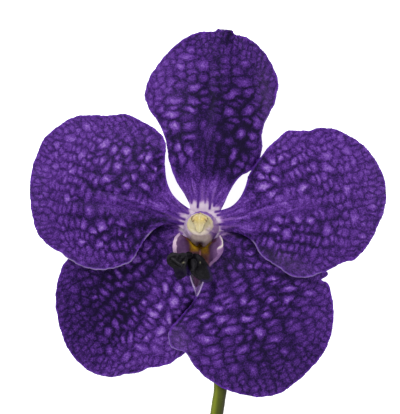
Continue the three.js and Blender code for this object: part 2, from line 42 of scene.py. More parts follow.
# Blade outlines and heights, as in the CAD: L and R are the margins from claw to tip, axis the
# midrib's direction, prof its height, curv the arch across it, bumps the waves, t the thickness.
BLADES = {'dorsal_sepal': {'L': [[-2.43, 2.43], [-2.97, 5.13], [-4.32, 7.97], [-5.94, 11.07], [-7.51, 14.85],
                        [-8.51, 18.63], [-9.02, 22.14], [-10.37, 26.06], [-12.26, 29.3], [-13.99, 32.0],
                        [-14.85, 35.1], [-14.23, 38.21], [-12.85, 41.04], [-11.21, 43.52], [-9.34, 45.85],
                        [-7.29, 47.93], [-4.97, 49.82], [-2.43, 51.41], [0.49, 52.22], [2.7, 52.3],
                        [4.21, 52.49], [5.02, 53.08], [5.83, 52.7]],
                  'R': [[3.51, 2.29], [5.27, 3.78], [6.48, 5.94], [7.56, 8.37], [9.18, 11.21],
                        [10.94, 13.28], [13.1, 14.5], [14.99, 16.2], [16.2, 18.36], [16.69, 21.06],
                        [16.47, 24.03], [17.25, 27.0], [18.5, 29.81], [20.14, 32.67], [20.63, 35.1],
                        [21.17, 38.07], [20.36, 41.23], [19.01, 44.04], [17.36, 46.71], [15.12, 48.92],
                        [12.96, 50.6], [11.07, 51.14], [9.72, 51.35], [9.07, 51.95], [8.59, 52.65],
                        [7.29, 52.68]],
                  'axis': 86.0,
                  'prof': [[0, 11.2], [5, 11.35], [12, 12.0], [20, 12.35], [28, 11.7], [36, 9.9], [43, 7.7],
                           [49, 5.6], [54, 3.9]],
                  'curv': [[0, 0.0], [8, 0.01], [18, 0.0125], [30, 0.0105], [45, 0.006], [54, 0.004]],
                  'groove': [0.3, 1.6, 6, 40],
                  'bumps': [[7.2, 51.6, 0.7, 1.6, 1.6, 0], [9.4, 50.0, -0.8, 1.5, 3.0, 20],
                            [-13.5, 31, -0.9, 3.5, 4.5, 0], [-9.5, 41.5, 0.6, 3.5, 3.5, 0],
                            [19.8, 38.5, -0.9, 3.0, 4.5, 0], [17.0, 28.5, -1.3, 2.6, 4.5, 0],
                            [15.5, 20, 0.7, 3.0, 3.0, 0], [-7.5, 14.5, 0.6, 3, 4, 0],
                            [15, 44, 0.5, 3.5, 3.5, 0], [0, 47.5, -0.4, 4, 3, 0]],
                  't': [0.85, 0.46]},
 'petal_left': {'R': [[-1.35, 3.38], [-3.65, 4.81], [-5.83, 6.48], [-7.7, 8.64], [-8.91, 11.48],
                      [-9.45, 14.72], [-9.48, 17.96], [-9.18, 20.52], [-9.45, 22.46], [-10.67, 24.52],
                      [-12.8, 26.24], [-14.96, 27.43], [-16.96, 28.46], [-18.55, 29.38], [-20.68, 29.89],
                      [-23.49, 29.59], [-27.0, 29.54], [-30.59, 29.73], [-34.13, 29.19], [-37.31, 27.49],
                      [-40.28, 25.43], [-42.39, 23.44], [-43.47, 21.2], [-44.12, 19.17], [-45.36, 16.12],
                      [-45.93, 12.8], [-46.04, 10.8]],
                'L': [[-2.16, -2.29], [-4.05, -1.22], [-6.08, -0.05], [-8.24, 0.49], [-10.4, 0.05],
                      [-12.42, -1.13], [-14.04, -2.75], [-15.44, -4.59], [-16.58, -6.75], [-17.77, -8.69],
                      [-19.33, -10.1], [-21.25, -10.96], [-23.54, -11.56], [-26.73, -11.93],
                      [-29.7, -11.61], [-32.08, -10.85], [-34.02, -9.94], [-36.07, -8.59], [-37.64, -7.34],
                      [-40.12, -5.99], [-42.71, -3.89], [-44.5, -1.08], [-45.41, 2.7], [-45.95, 5.94],
                      [-46.06, 8.24]],
                'axis': 168.0,
                'prof': [[0, 12.75], [5, 12.85], [11, 13.15], [18, 13.05], [26, 11.7], [33, 9.15],
                         [39, 6.1], [43.5, 3.35], [47, 0.78]],
                'curv': [[0, 0.0], [8, 0.002], [16, 0.0035], [30, 0.005], [47, 0.0035]],
                'groove': [0.28, 1.5, 7, 34],
                'bumps': [[-9.6, 22, 0.7, 2.6, 3.0, 0], [-11, 27, -0.8, 3.2, 3.2, 0],
                          [-21, 29.8, 0.9, 3.6, 3.2, 0], [-33, 27, -0.6, 4, 3.5, 0],
                          [-43.5, 21, 0.5, 3, 3, 0], [-41.5, -5.0, 0.5, 3.2, 3.2, 0],
                          [-30, -11.5, 0.7, 4, 3, 0], [-16.5, -8.5, 0.6, 3.0, 3.5, 0],
                          [-10, -0.5, 0.7, 3.5, 1.6, 10], [-23.5, 8.6, -0.35, 5.0, 0.8, -10],
                          [-13, 5, -0.35, 5.0, 2.2, -8]],
                't': [0.82, 0.45]},
 'petal_right': {'L': [[1.62, 3.38], [3.78, 3.78], [6.1, 4.05], [8.26, 4.86], [9.99, 6.26], [11.34, 8.21],
                       [12.31, 10.53], [13.01, 12.96], [14.04, 14.96], [15.39, 16.85], [16.96, 18.85],
                       [18.36, 20.68], [19.71, 22.19], [21.01, 23.06], [21.92, 24.19], [23.0, 25.0],
                       [24.57, 25.38], [27.43, 25.43], [29.7, 25.49], [31.86, 26.06], [34.02, 26.22],
                       [36.18, 25.95], [38.34, 25.16], [41.53, 23.54], [44.39, 21.33], [46.79, 18.63],
                       [48.68, 15.58], [50.06, 12.34], [50.41, 9.99]],
                 'R': [[2.43, -2.29], [4.46, -1.62], [6.75, -1.57], [9.18, -1.78], [11.61, -2.54],
                       [13.5, -3.65], [14.85, -5.13], [15.82, -7.02], [17.28, -8.78], [19.17, -9.99],
                       [21.06, -11.12], [22.95, -12.58], [24.84, -13.72], [27.0, -14.12], [29.43, -13.93],
                       [31.59, -13.15], [33.75, -12.39], [36.18, -11.34], [38.07, -10.26], [39.96, -9.8],
                       [41.85, -9.26], [44.12, -7.02], [46.52, -3.54], [47.95, -0.73], [49.28, 2.19],
                       [50.27, 5.27], [50.46, 7.56]],
                 'axis': 8.5,
                 'prof': [[0, 12.75], [5, 12.85], [11, 13.15], [19, 13.05], [28, 11.8], [36, 9.25],
                          [42.5, 6.2], [47.3, 3.35], [51.2, 0.57]],
                 'curv': [[0, 0.0], [8, 0.002], [16, 0.003], [30, 0.0045], [51, 0.0032]],
                 'groove': [0.28, 1.5, 8, 36],
                 'bumps': [[13.2, 16.5, 0.6, 3.0, 3.0, 40], [20, 23.5, -0.8, 2.8, 2.8, 0],
                           [25.5, 25.8, 0.8, 3.2, 3.0, 0], [34, 26.6, -0.6, 3.6, 3, 0],
                           [44, 18.5, 0.5, 3.5, 3.5, 0], [49, 8, -0.4, 3, 3, 0],
                           [43.5, -7, 0.6, 3.2, 3.2, 0], [38.6, -9.5, -0.5, 2.4, 2.4, 0],
                           [28, -14, 0.7, 3.5, 3, 0], [16, -7, 0.5, 3.0, 3.5, 0],
                           [12, -0.8, 0.6, 3.5, 1.6, -10], [26, 4.5, -0.35, 6, 0.9, 10],
                           [14, 3.5, -0.35, 5.0, 2.2, 8]],
                 't': [0.82, 0.45]},
 'lateral_sepal_left': {'L': [[-1.35, -2.97], [-2.57, -5.4], [-3.08, -8.37], [-3.05, -11.21],
                              [-2.38, -14.45], [-1.4, -17.14], [-0.65, -19.71], [-0.32, -22.14],
                              [-0.38, -24.84], [-0.81, -27.95], [-1.62, -30.92], [-2.97, -33.34],
                              [-4.59, -34.99], [-6.75, -36.45], [-8.64, -37.69], [-10.72, -38.23],
                              [-13.61, -38.66], [-15.8, -39.74], [-17.82, -40.34], [-20.52, -40.5],
                              [-22.41, -41.04], [-24.17, -41.31]],
                        'R': [[-2.43, -0.41], [-4.86, 0.95], [-7.83, 1.76], [-11.61, 1.08], [-15.93, -1.35],
                              [-21.87, -4.05], [-27.54, -5.94], [-32.4, -7.34], [-35.91, -9.45],
                              [-37.8, -12.83], [-38.93, -17.55], [-39.15, -21.6], [-38.53, -25.65],
                              [-37.45, -29.7], [-36.02, -33.37], [-33.89, -36.45], [-31.19, -38.99],
                              [-28.62, -40.39], [-26.33, -41.04]],
                        'axis': -126.5,
                        'prof': [[0, 11.0], [5, 11.0], [10, 10.6], [16, 9.7], [22, 8.6], [30, 6.8],
                                 [38, 4.6], [45, 2.35], [51, 0.22]],
                        'curv': [[0, 0.0], [8, 0.001], [16, 0.004], [30, 0.005], [51, 0.0035]],
                        'groove': [0.28, 1.5, 7, 36],
                        'bumps': [[-36, -26, 0.5, 3.5, 3.5, 0], [-38.5, -17, -0.4, 3.5, 3.5, 0],
                                  [-11, -38.3, 0.6, 3.0, 2.5, 0], [-17, -40, -0.5, 2.6, 2.6, 0],
                                  [-24, -41, 0.5, 3, 3, 0], [-32, -38, -0.3, 3, 3, 0]],
                        't': [0.82, 0.45]},
 'lateral_sepal_right': {'R': [[1.22, -4.05], [1.89, -6.75], [2.05, -9.99], [1.51, -13.23], [0.43, -16.2],
                               [-1.0, -19.33], [-2.7, -21.87], [-4.86, -24.41], [-7.02, -26.73],
                               [-8.42, -28.84], [-8.37, -31.05], [-7.67, -32.83], [-6.1, -33.64],
                               [-4.32, -34.18], [-2.92, -35.8], [-1.35, -38.07], [0.81, -40.39],
                               [3.67, -42.55], [6.75, -44.28], [9.99, -45.47], [12.42, -46.06]],
                         'L': [[2.97, -1.22], [5.94, -0.27], [9.72, 0.0], [14.04, -1.08], [18.36, -3.51],
                               [22.68, -6.35], [27.0, -9.04], [30.24, -11.21], [32.24, -12.37],
                               [33.86, -12.58], [34.4, -13.18], [33.91, -13.82], [32.89, -14.42],
                               [32.56, -14.8], [33.26, -15.17], [34.34, -15.55], [35.05, -17.17],
                               [35.69, -19.71], [36.07, -23.22], [35.94, -27.0], [35.21, -30.27],
                               [34.13, -33.32], [32.4, -36.07], [30.35, -38.45], [28.19, -40.66],
                               [25.87, -42.8], [23.17, -44.66], [20.12, -46.06], [16.74, -46.55],
                               [14.58, -46.44]],
                         'axis': -66.0,
                         'prof': [[0, 11.2], [5, 11.4], [10, 11.6], [16, 11.4], [22, 10.7], [30, 9.2],
                                  [38, 7.3], [45, 5.3], [51, 3.4]],
                         'curv': [[0, 0.0], [8, 0.001], [16, 0.0022], [30, 0.004], [51, 0.0035]],
                         'groove': [0.28, 1.5, 7, 36],
                         'bumps': [[-8, -29, -0.5, 3.0, 3.0, 0], [-7.5, -33, 0.7, 2.2, 2.4, 0],
                                   [-2.5, -36, -0.7, 2.4, 2.4, 0], [2.5, -41, 0.4, 3, 2.5, 0],
                                   [32, -14, 0.5, 2.2, 2.2, 0], [36, -24, -0.5, 3.5, 3.5, 0],
                                   [33.5, -34, 0.5, 3.5, 3.5, 0], [25, -43, -0.4, 3.5, 3.5, 0],
                                   [14, -46, 0.5, 3.5, 3, 0]],
                         't': [0.82, 0.45]},
 'lip_lobe_left': {'L': [[-1.7, -11.2], [-2.6, -12.0], [-3.6, -13.4], [-4.6, -14.2], [-5.7, -14.0],
                         [-6.4, -12.9], [-6.5, -11.7], [-7.4, -10.7], [-8.3, -10.0], [-8.7, -9.4]],
                   'R': [[-0.4, -7.9], [-1.4, -7.4], [-2.6, -7.3], [-3.8, -7.7], [-4.9, -7.5], [-6.1, -7.3],
                         [-7.2, -7.4], [-8.0, -7.9], [-8.6, -8.4], [-8.8, -8.8]],
                   'axis': -165.0,
                   'prof': [[1, 19.6], [3.5, 20.3], [6, 20.7], [9, 20.6], [11, 20.1]],
                   'curv': [[0, 0.0], [5, 0.0], [10, 0.0]],
                   'groove': [0, 1, 0, 1],
                   'bumps': [[-5.0, -10.0, 0.9, 4.0, 0.9, -12], [-5.2, -13.2, -1.9, 1.8, 1.6, 0],
                             [-3.0, -8.0, 0.4, 2.0, 0.8, 0], [-6.8, -8.1, 0.25, 1.2, 0.8, 0],
                             [-5.2, -8.8, -0.35, 2.2, 0.5, -8]],
                   't': [0.55, 0.4]},
 'lip_lobe_right': {'L': [[-0.2, -7.6], [1.0, -8.2], [1.9, -9.4], [2.5, -10.9], [2.9, -12.4], [3.05, -13.8],
                          [2.6, -14.9], [1.9, -15.3]],
                    'R': [[-2.6, -8.6], [-2.9, -9.6], [-2.7, -10.8], [-2.4, -11.9], [-1.9, -13.0],
                          [-1.1, -14.0], [0.0, -14.8], [1.0, -15.35]],
                    'axis': -62.0,
                    'prof': [[5, 20.0], [7.5, 20.5], [10, 20.5], [12, 19.6], [14.6, 17.9]],
                    'curv': [[0, 0.05], [4, 0.07], [8, 0.07]],
                    'groove': [0, 1, 0, 1],
                    'bumps': [[-0.4, -10.5, 0.45, 3.0, 0.7, -70], [1.2, -11.8, -0.3, 2.2, 0.6, -65]],
                    't': [0.55, 0.4]}}

# How the veins fan out on each blade; its tone zones are partly the blade's own colour and partly painted light and
# shade
FANS = {'dorsal_sepal': {'s0': 1.0,
                  'h0': 3.2,
                  'start': 6,
                  'w_in': 2.2,
                  'w_mid': 3.5,
                  'w_out': 2.6,
                  'w_rim': 1.4,
                  'l_in': 3.7,
                  'l_mid': 2.3,
                  'l_out': 1.8,
                  'l_rim': 1.9,
                  'inner': 13,
                  'wander': 0.16,
                  'calm': (9.5, 24, 3.4, 0.85),
                  'claw': 9.0,
                  'seed': 11,
                  'tone_and_shade': [[8.6, 32.4, -0.19, 9.2, 16.2, 0], [4.1, 17.6, -0.14, 9.2, 7.0, 0],
                           [1.4, 31.1, -0.05, 5.4, 9.2, 0], [14.0, 32.4, -0.09, 4.3, 13.5, 0],
                           [-11.3, 37.8, 0.05, 3.8, 9.2, 0], [4.1, 48.6, -0.06, 10.8, 4.3, 0],
                           [1.6, 8.9, 0.13, 4.9, 3.2, 0]],
                  'grey_sheen': [[17.8, 35.1, 0.25, 2.2, 9.7, 8]],
                  'spots': [(-1.48, 36.94, 3.5, 2.4, 0), (-6.99, 33.26, 5.2, 2.1, 3),
                            (-1.48, 33.11, 4.4, 1.9, -12), (-7.52, 29.59, 4.0, 2.0, 0),
                            (-2.27, 30.9, 4.3, 2.0, -14), (-6.73, 26.44, 3.1, 2.9, 0),
                            (-2.27, 23.81, 4.2, 1.7, 4), (-5.94, 20.93, 3.3, 2.0, 108),
                            (-2.53, 19.88, 3.5, 2.4, 112), (7.45, 30.38, 3.4, 3.0, 0),
                            (8.76, 35.1, 4.6, 2.7, 28), (12.96, 30.9, 3.3, 2.7, 45),
                            (10.86, 24.6, 3.5, 2.5, 100), (14.01, 23.81, 2.4, 2.2, 0),
                            (15.06, 27.75, 3.3, 2.6, 110), (13.22, 35.63, 2.5, 2.4, 0),
                            (8.76, 19.09, 3.9, 2.3, 82), (0.88, 26.96, 2.5, 1.7, 80),
                            (2.72, 25.13, 2.8, 2.0, 90), (-2.27, 15.41, 4.6, 2.3, 108),
                            (-2.27, 47.18, 2.6, 2.0, 0), (-3.58, 45.34, 3.8, 1.8, 0),
                            (0.88, 42.98, 3.0, 2.4, 0), (12.17, 43.5, 2.8, 2.2, 0),
                            (11.91, 38.25, 3.6, 2.4, 0), (-5.15, 42.45, 2.6, 1.8, 0)],
                  'marks': [('streak', 0.9, 0.36,
                             [(-0.59, 4.86), (-0.49, 6.21), (-0.27, 7.83), (-0.11, 9.45)]),
                            ('streak', 0.9, 0.36, [(2.59, 4.48), (2.75, 5.94), (2.86, 7.56), (2.97, 9.45)]),
                            ('streak', 0.8, 0.32, [(3.78, 5.24), (4.0, 6.75), (4.43, 8.64)]),
                            ('streak', 0.7, 0.3, [(-2.27, 5.94), (-2.05, 7.56), (-1.89, 9.45)]),
                            ('streak', 0.5, 0.25, [(1.35, 5.94), (1.43, 7.29), (1.49, 8.91)]),
                            ('crease_light_and_shade', -0.2, 0.5,
                             [(1.08, 24.3), (1.49, 20.25), (1.49, 16.2), (1.62, 11.61)]),
                            ('crease_light_and_shade', -0.16, 0.4,
                             [(2.97, 24.3), (2.97, 20.25), (2.7, 16.2), (2.57, 12.15)]),
                            ('crease_light_and_shade', -0.14, 0.4,
                             [(4.59, 22.95), (4.32, 18.63), (3.65, 14.31), (3.38, 10.53)]),
                            ('crease_light_and_shade', -0.14, 0.4,
                             [(-0.54, 22.95), (-0.14, 18.63), (0.27, 14.31), (0.54, 10.53)]),
                            ('crease_light_and_shade', -0.3, 1.1,
                             [(7.56, 53.46), (7.97, 51.84), (7.7, 49.95), (7.02, 47.79)]),
                            ('crease_light_and_shade', -0.2, 0.7, [(5.67, 52.38), (5.81, 50.49), (6.21, 48.33)]),
                            ('hem_and_sheen', 0.38, 0.15,
                             [(18.9, 30.51), (17.55, 27.27), (16.61, 24.03), (16.47, 21.06),
                              (15.39, 18.63)]),
                            ('white', 0.5, 0.5, [(-1.46, 4.59), (-1.43, 5.4), (-1.35, 6.48)]),
                            ('white', 0.55, 0.6, [(0.97, 5.13), (0.86, 6.1), (0.76, 7.29)]),
                            ('white', 0.8, 0.8, [(1.89, 4.86), (1.97, 6.21), (2.11, 8.37)])],
                  'trim': [(0, 4.5, 9.5, 0.42)]},
 'petal_left': {'s0': 2.0,
                'h0': 2.6,
                'start': 6,
                'w_in': 1.7,
                'w_mid': 3.2,
                'w_out': 2.4,
                'w_rim': 1.25,
                'l_in': 3.4,
                'l_mid': 1.75,
                'l_out': 1.35,
                'l_rim': 2.2,
                'wander': 0.16,
                'calm': (9.5, 24, 2.4, 0.8),
                'mid': 0.0,
                'seed': 23,
                'tone_and_shade': [[-21.6, -2.7, -0.08, 16.2, 6.5, 0], [-35.1, 17.6, 0.05, 12.4, 9.2, 0],
                         [-25.7, 28.4, 0.03, 13.5, 3.8, 0], [-12.7, 2.2, -0.1, 4.9, 2.2, 0]],
                'grey_sheen': [],
                'spots': [(-13.73, 18.07, 2.8, 1.9, 85), (-12.17, 14.95, 2.3, 1.4, 110),
                          (-15.29, 15.47, 2.4, 2.0, 60), (-17.88, 12.88, 2.7, 1.8, 75),
                          (-20.22, 10.54, 2.6, 2.1, 0), (-14.77, 10.28, 2.8, 1.9, -35),
                          (-25.15, 12.36, 2.8, 2.4, 0), (-23.07, 7.17, 3.5, 2.2, 0),
                          (-23.07, 3.95, 2.5, 2.0, 90), (-26.19, 4.05, 2.7, 1.8, 90),
                          (-29.82, 4.05, 2.9, 1.9, 90), (-21.0, 0.42, 3.1, 2.3, 15),
                          (-26.45, -0.73, 3.0, 2.6, 60), (-28.53, -1.77, 2.2, 2.0, 0),
                          (-31.38, -0.1, 2.2, 2.1, 0), (-26.71, -5.3, 2.4, 2.2, 0),
                          (-31.64, -4.52, 2.2, 2.1, 0), (-17.36, 3.53, 3.0, 1.5, -10),
                          (-19.7, -2.96, 2.7, 1.3, 65), (-25.67, 21.7, 3.3, 1.9, 50),
                          (-19.96, 19.89, 3.1, 2.1, 45), (-22.82, 20.41, 2.4, 1.9, 45),
                          (-22.04, 15.99, 2.7, 2.1, 60), (-26.19, 17.29, 2.6, 1.5, 60),
                          (-34.5, 14.43, 2.2, 2.1, 0), (-38.91, 15.47, 2.1, 1.3, 90),
                          (-38.65, 18.59, 2.3, 1.6, 90), (-31.64, 18.85, 2.8, 1.8, 50),
                          (-38.65, 21.44, 2.1, 1.8, 30), (-34.76, 23.0, 2.8, 2.0, -10),
                          (-30.6, 26.64, 3.4, 2.0, -50), (-32.68, 25.6, 2.2, 1.6, 60),
                          (-35.8, 6.91, 3.0, 2.1, 90)],
                'marks': [('crease_light_and_shade', -0.13, 0.3,
                           [(-31.59, 10.26), (-29.16, 9.86), (-26.73, 9.32), (-24.03, 9.04), (-21.06, 8.51),
                            (-17.82, 7.29)]),
                          ('crease_light_and_shade', 0.17, 0.55,
                           [(-27.27, 8.8), (-24.3, 8.32), (-20.52, 7.56), (-16.2, 6.21), (-11.34, 4.32),
                            (-7.56, 2.97)]),
                          ('crease_light_and_shade', -0.16, 0.35,
                           [(-22.14, 7.56), (-17.82, 6.21), (-13.5, 4.59), (-9.18, 2.83), (-5.94, 1.62)]),
                          ('crease_light_and_shade', 0.12, 0.4,
                           [(-23.76, 7.02), (-18.9, 5.81), (-14.04, 4.05), (-9.45, 2.16)]),
                          ('crease_light_and_shade', -0.14, 0.35,
                           [(-19.44, 4.86), (-15.12, 3.51), (-10.8, 1.89), (-7.02, 1.08)]),
                          ('crease_light_and_shade', -0.34, 1.0,
                           [(-5.13, 0.0), (-7.56, 0.65), (-10.26, 1.13), (-12.96, 0.7), (-15.39, -0.43),
                            (-17.28, -1.89)]),
                          ('crease_light_and_shade', -0.2, 0.8,
                           [(-9.72, 12.69), (-10.67, 15.39), (-11.07, 18.63), (-10.53, 21.33)]),
                          ('streak', 0.85, 0.4,
                           [(-3.19, 3.16), (-4.46, 3.67), (-6.48, 4.48), (-8.64, 5.67)]),
                          ('streak', 0.85, 0.4,
                           [(-4.16, 1.49), (-5.4, 1.89), (-7.02, 2.54), (-9.18, 3.65)]),
                          ('streak', 0.85, 0.42,
                           [(-4.4, 0.32), (-5.67, 0.57), (-7.29, 1.0), (-9.45, 1.62)]),
                          ('hem_and_sheen', 0.71, 0.15,
                           [(-38.61, -7.29), (-36.72, -8.91), (-33.75, -10.8), (-30.78, -11.75),
                            (-25.92, -12.29), (-20.52, -11.61), (-16.74, -9.45), (-14.31, -5.94),
                            (-12.96, -2.97), (-11.61, -1.08)]),
                          ('white', 0.75, 0.5, [(-4.32, 2.97), (-5.4, 3.13), (-6.75, 3.46)]),
                          ('white', 0.6, 0.4, [(-3.78, 2.05), (-5.13, 2.27), (-6.21, 2.59)]),
                          ('white', 1.0, 0.7, [(-4.05, -0.11), (-5.02, -0.59), (-5.94, -1.35)]),
                          ('white', 1.0, 0.7, [(-2.7, -3.38), (-3.51, -2.43), (-4.73, -1.22)])]},
 'petal_right': {'s0': 2.0,
                 'h0': 2.6,
                 'start': 6,
                 'w_in': 1.7,
                 'w_mid': 3.0,
                 'w_out': 2.4,
                 'w_rim': 1.2,
                 'l_in': 3.4,
                 'l_mid': 1.8,
                 'l_out': 1.5,
                 'l_rim': 2.4,
                 'wander': 0.16,
                 'calm': (9.5, 28, 2.6, 0.75),
                 'mid': 1.0,
                 'seed': 37,
                 'tone_and_shade': [[29.7, -6.8, -0.02, 16.2, 5.4, 0], [32.4, 20.2, 0.04, 13.5, 6.5, 0],
                          [24.3, 9.5, 0.09, 10.8, 7.0, 0]],
                 'grey_sheen': [[23.0, -10.0, 0.3, 7.0, 2.4, -24]],
                 'spots': [(34.33, 18.72, 2.7, 2.5, 90), (34.33, 15.4, 2.9, 2.2, -15),
                           (18.04, 15.13, 2.5, 2.3, -30), (19.42, 17.06, 2.4, 1.9, 120),
                           (16.38, 13.2, 2.1, 1.8, -30), (19.97, 12.09, 2.6, 2.0, -20),
                           (17.21, 10.33, 3.6, 2.7, 20), (19.42, 8.5, 3.5, 1.9, 25),
                           (23.84, 4.64, 3.0, 2.2, -10), (21.08, 1.49, 2.9, 1.9, -10),
                           (26.04, 1.33, 3.1, 2.4, 120), (29.63, 1.05, 2.7, 1.8, 95),
                           (23.28, -2.26, 2.7, 2.4, 60), (20.25, -1.44, 2.5, 2.3, 0),
                           (39.3, 9.33, 2.8, 2.2, 90), (41.5, 1.88, 2.8, 2.2, 90),
                           (34.05, -1.44, 2.9, 2.0, 95), (27.7, 9.88, 2.8, 2.1, 70),
                           (25.22, 17.06, 2.8, 1.8, 60), (21.9, 17.89, 2.4, 1.8, 60),
                           (39.57, 19.82, 2.6, 1.9, 110), (41.23, 17.06, 2.6, 1.8, 110),
                           (37.92, 23.69, 2.6, 1.8, 90), (46.75, 4.91, 2.4, 1.5, 0),
                           (43.99, -3.09, 2.9, 1.3, -10)],
                 'marks': [('crease_light_and_shade', 0.2, 0.36,
                            [(8.37, 1.08), (12.42, 2.54), (16.74, 4.19), (20.52, 5.45), (24.03, 6.1),
                             (26.46, 6.21)]),
                           ('crease_light_and_shade', 0.12, 1.6,
                            [(16.74, 5.13), (21.06, 6.48), (25.38, 7.83), (29.7, 9.45)]),
                           ('crease_light_and_shade', -0.18, 0.35,
                            [(11.88, 3.13), (15.66, 4.64), (18.9, 5.78), (21.6, 6.32)]),
                           ('crease_light_and_shade', -0.16, 0.35,
                            [(9.72, 0.65), (13.5, 1.62), (17.28, 2.83), (21.6, 4.32)]),
                           ('crease_light_and_shade', -0.28, 0.9,
                            [(5.13, -0.92), (8.64, -1.35), (11.88, -2.16), (14.04, -3.67), (15.39, -5.67)]),
                           ('crease_light_and_shade', -0.18, 0.7,
                            [(12.42, 10.53), (13.5, 13.5), (15.12, 16.47), (17.28, 19.17)]),
                           ('streak', 0.85, 0.4, [(4.78, 2.65), (5.94, 2.83), (7.56, 3.24), (9.72, 3.94)]),
                           ('streak', 0.85, 0.42, [(5.29, 0.16), (6.48, 0.24), (7.83, 0.49), (9.99, 1.08)]),
                           ('streak', 0.8, 0.36, [(4.16, 3.51), (5.27, 3.73), (7.02, 4.21), (9.18, 5.13)]),
                           ('hem_and_sheen', 0.45, 0.15,
                            [(13.5, -3.51), (15.12, -5.67), (16.47, -7.83), (18.9, -10.26), (21.87, -12.02),
                             (24.84, -13.5), (27.81, -14.18), (30.11, -13.88), (32.86, -11.88)]),
                           ('white', 0.6, 0.5, [(4.32, 1.73), (5.67, 1.92), (7.02, 2.27)]),
                           ('white', 0.5, 0.4, [(3.78, 3.35), (4.75, 3.89), (5.67, 4.59)]),
                           ('white', 0.9, 0.5, [(4.21, -1.62), (5.67, -1.62), (7.56, -1.73)]),
                           ('white', 0.6, 0.5, [(5.94, -2.54), (7.02, -2.32), (8.64, -2.27)])]},
 'lateral_sepal_left': {'s0': -1.0,
                        'h0': 3.0,
                        'start': 7,
                        'w_in': 1.8,
                        'w_mid': 3.1,
                        'w_out': 2.4,
                        'w_rim': 1.25,
                        'l_in': 3.8,
                        'l_mid': 1.9,
                        'l_out': 1.6,
                        'l_rim': 2.3,
                        'bend': 0.4,
                        'wander': 0.16,
                        'calm': (8.0, 16, 1.4, 0.4),
                        'seed': 41,
                        'tone_and_shade': [[-27.0, -21.6, -0.24, 9.7, 14.0, -20], [-34.6, -20.2, -0.07, 4.3, 13.5, 0],
                                 [-9.5, -24.3, 0.13, 5.9, 11.9, 0], [-5.9, -15.7, -0.07, 2.2, 1.4, 0]],
                        'selvage': ('L', -13.0, -19.8, 0.22),
                        'grey_sheen': [],
                        'spots': [(-6.75, -20.56, 3.3, 2.6, 100), (-10.9, -21.86, 2.6, 2.4, 0),
                                  (-12.72, -23.94, 2.6, 2.2, -20), (-9.35, -16.93, 3.5, 1.7, 95),
                                  (-5.71, -16.93, 3.9, 2.2, 105), (-18.69, -30.43, 4.2, 1.6, 88),
                                  (-16.1, -33.13, 3.3, 2.0, -18), (-19.73, -35.62, 2.5, 2.4, 0),
                                  (-22.59, -26.79, 3.4, 1.8, 112), (-10.64, -28.87, 4.2, 2.0, 22),
                                  (-8.31, -25.75, 4.7, 1.6, 98), (-15.06, -20.82, 2.2, 2.0, 60),
                                  (-17.65, -22.64, 2.4, 2.0, 120), (-21.81, -13.29, 3.6, 1.8, 112),
                                  (-17.39, -9.4, 2.6, 2.1, 0), (-13.76, -9.66, 2.1, 2.0, 0),
                                  (-14.02, -5.76, 2.7, 2.2, 60), (-24.92, -28.87, 2.3, 2.1, 90),
                                  (-20.77, -30.95, 3.2, 1.4, 90), (-25.96, -18.23, 2.5, 2.1, -30),
                                  (-34.27, -17.45, 2.2, 2.0, 0), (-24.4, -33.54, 2.5, 1.8, 120),
                                  (-14.54, -30.43, 1.9, 1.7, 0), (-32.71, -22.38, 2.0, 1.9, 0),
                                  (-28.3, -19.78, 2.3, 1.7, -35)],
                        'marks': [('crease_light_and_shade', -0.16, 1.6,
                                   [(-9.45, -4.32), (-12.96, -11.07), (-16.74, -18.09), (-20.52, -25.11),
                                    (-24.57, -31.86), (-29.16, -38.61)]),
                                  ('crease_light_and_shade', -0.3, 1.5,
                                   [(-6.48, -0.81), (-9.72, -0.81), (-12.96, -1.89), (-15.66, -4.05)]),
                                  ('crease_light_and_shade', 0.12, 0.8, [(-4.32, -0.41), (-6.48, -1.22), (-8.64, -2.7)]),
                                  ('hem_and_sheen', 0.26, 0.15,
                                   [(-30.78, -39.42), (-27.0, -41.04), (-22.41, -41.31), (-17.82, -40.5),
                                    (-13.77, -38.88)]),
                                  ('white', 1.0, 0.7, [(-3.78, -0.38), (-4.86, -0.97), (-6.08, -1.76)]),
                                  ('white', 1.0, 0.7, [(-2.7, -3.38), (-3.51, -2.43), (-4.73, -1.22)]),
                                  ('white', 1.1, 0.36,
                                   [(-1.62, -15.8), (-1.3, -17.01), (-0.97, -18.36), (-0.65, -19.85)]),
                                  ('crease_light_and_shade', -0.45, 0.8,
                                   [(-1.89, -19.17), (-2.57, -21.06), (-3.92, -22.95), (-5.54, -25.11),
                                    (-7.29, -27.27)])]},
 'lateral_sepal_right': {'s0': -1.0,
                         'h0': 3.0,
                         'start': 7,
                         'w_in': 1.8,
                         'w_mid': 3.7,
                         'w_out': 3.3,
                         'w_rim': 1.8,
                         'l_in': 3.8,
                         'l_mid': 1.9,
                         'l_out': 1.45,
                         'l_rim': 1.6,
                         'bend': 0.9,
                         'wander': 0.16,
                         'calm': (8.0, 18, 1.6, 0.5),
                         'seed': 59,
                         'tone_and_shade': [[17.6, -37.8, -0.2, 16.2, 9.2, 0], [27.0, -20.2, -0.08, 9.7, 13.5, 0],
                                  [8.1, -12.2, -0.06, 7.0, 7.0, 0], [6.8, -5.7, -0.09, 1.1, 3.2, 0]],
                         'selvage': ('R', -12.6, -19.4, 0.22),
                         'grey_sheen': [[-5.9, -30.5, 0.35, 2.7, 4.3, 20], [5.9, -10.0, 0.15, 5.4, 3.8, 0]],
                         'spots': [(13.57, -7.68, 2.6, 1.9, -20), (13.27, -11.02, 3.0, 1.9, -25),
                                   (18.42, -11.02, 3.0, 1.8, -10), (19.93, -14.35, 3.8, 1.6, 12),
                                   (5.09, -22.22, 3.5, 2.2, -8), (5.69, -25.56, 4.2, 2.2, 14),
                                   (12.36, -25.25, 4.4, 2.2, 8), (8.12, -27.98, 4.8, 2.2, 12),
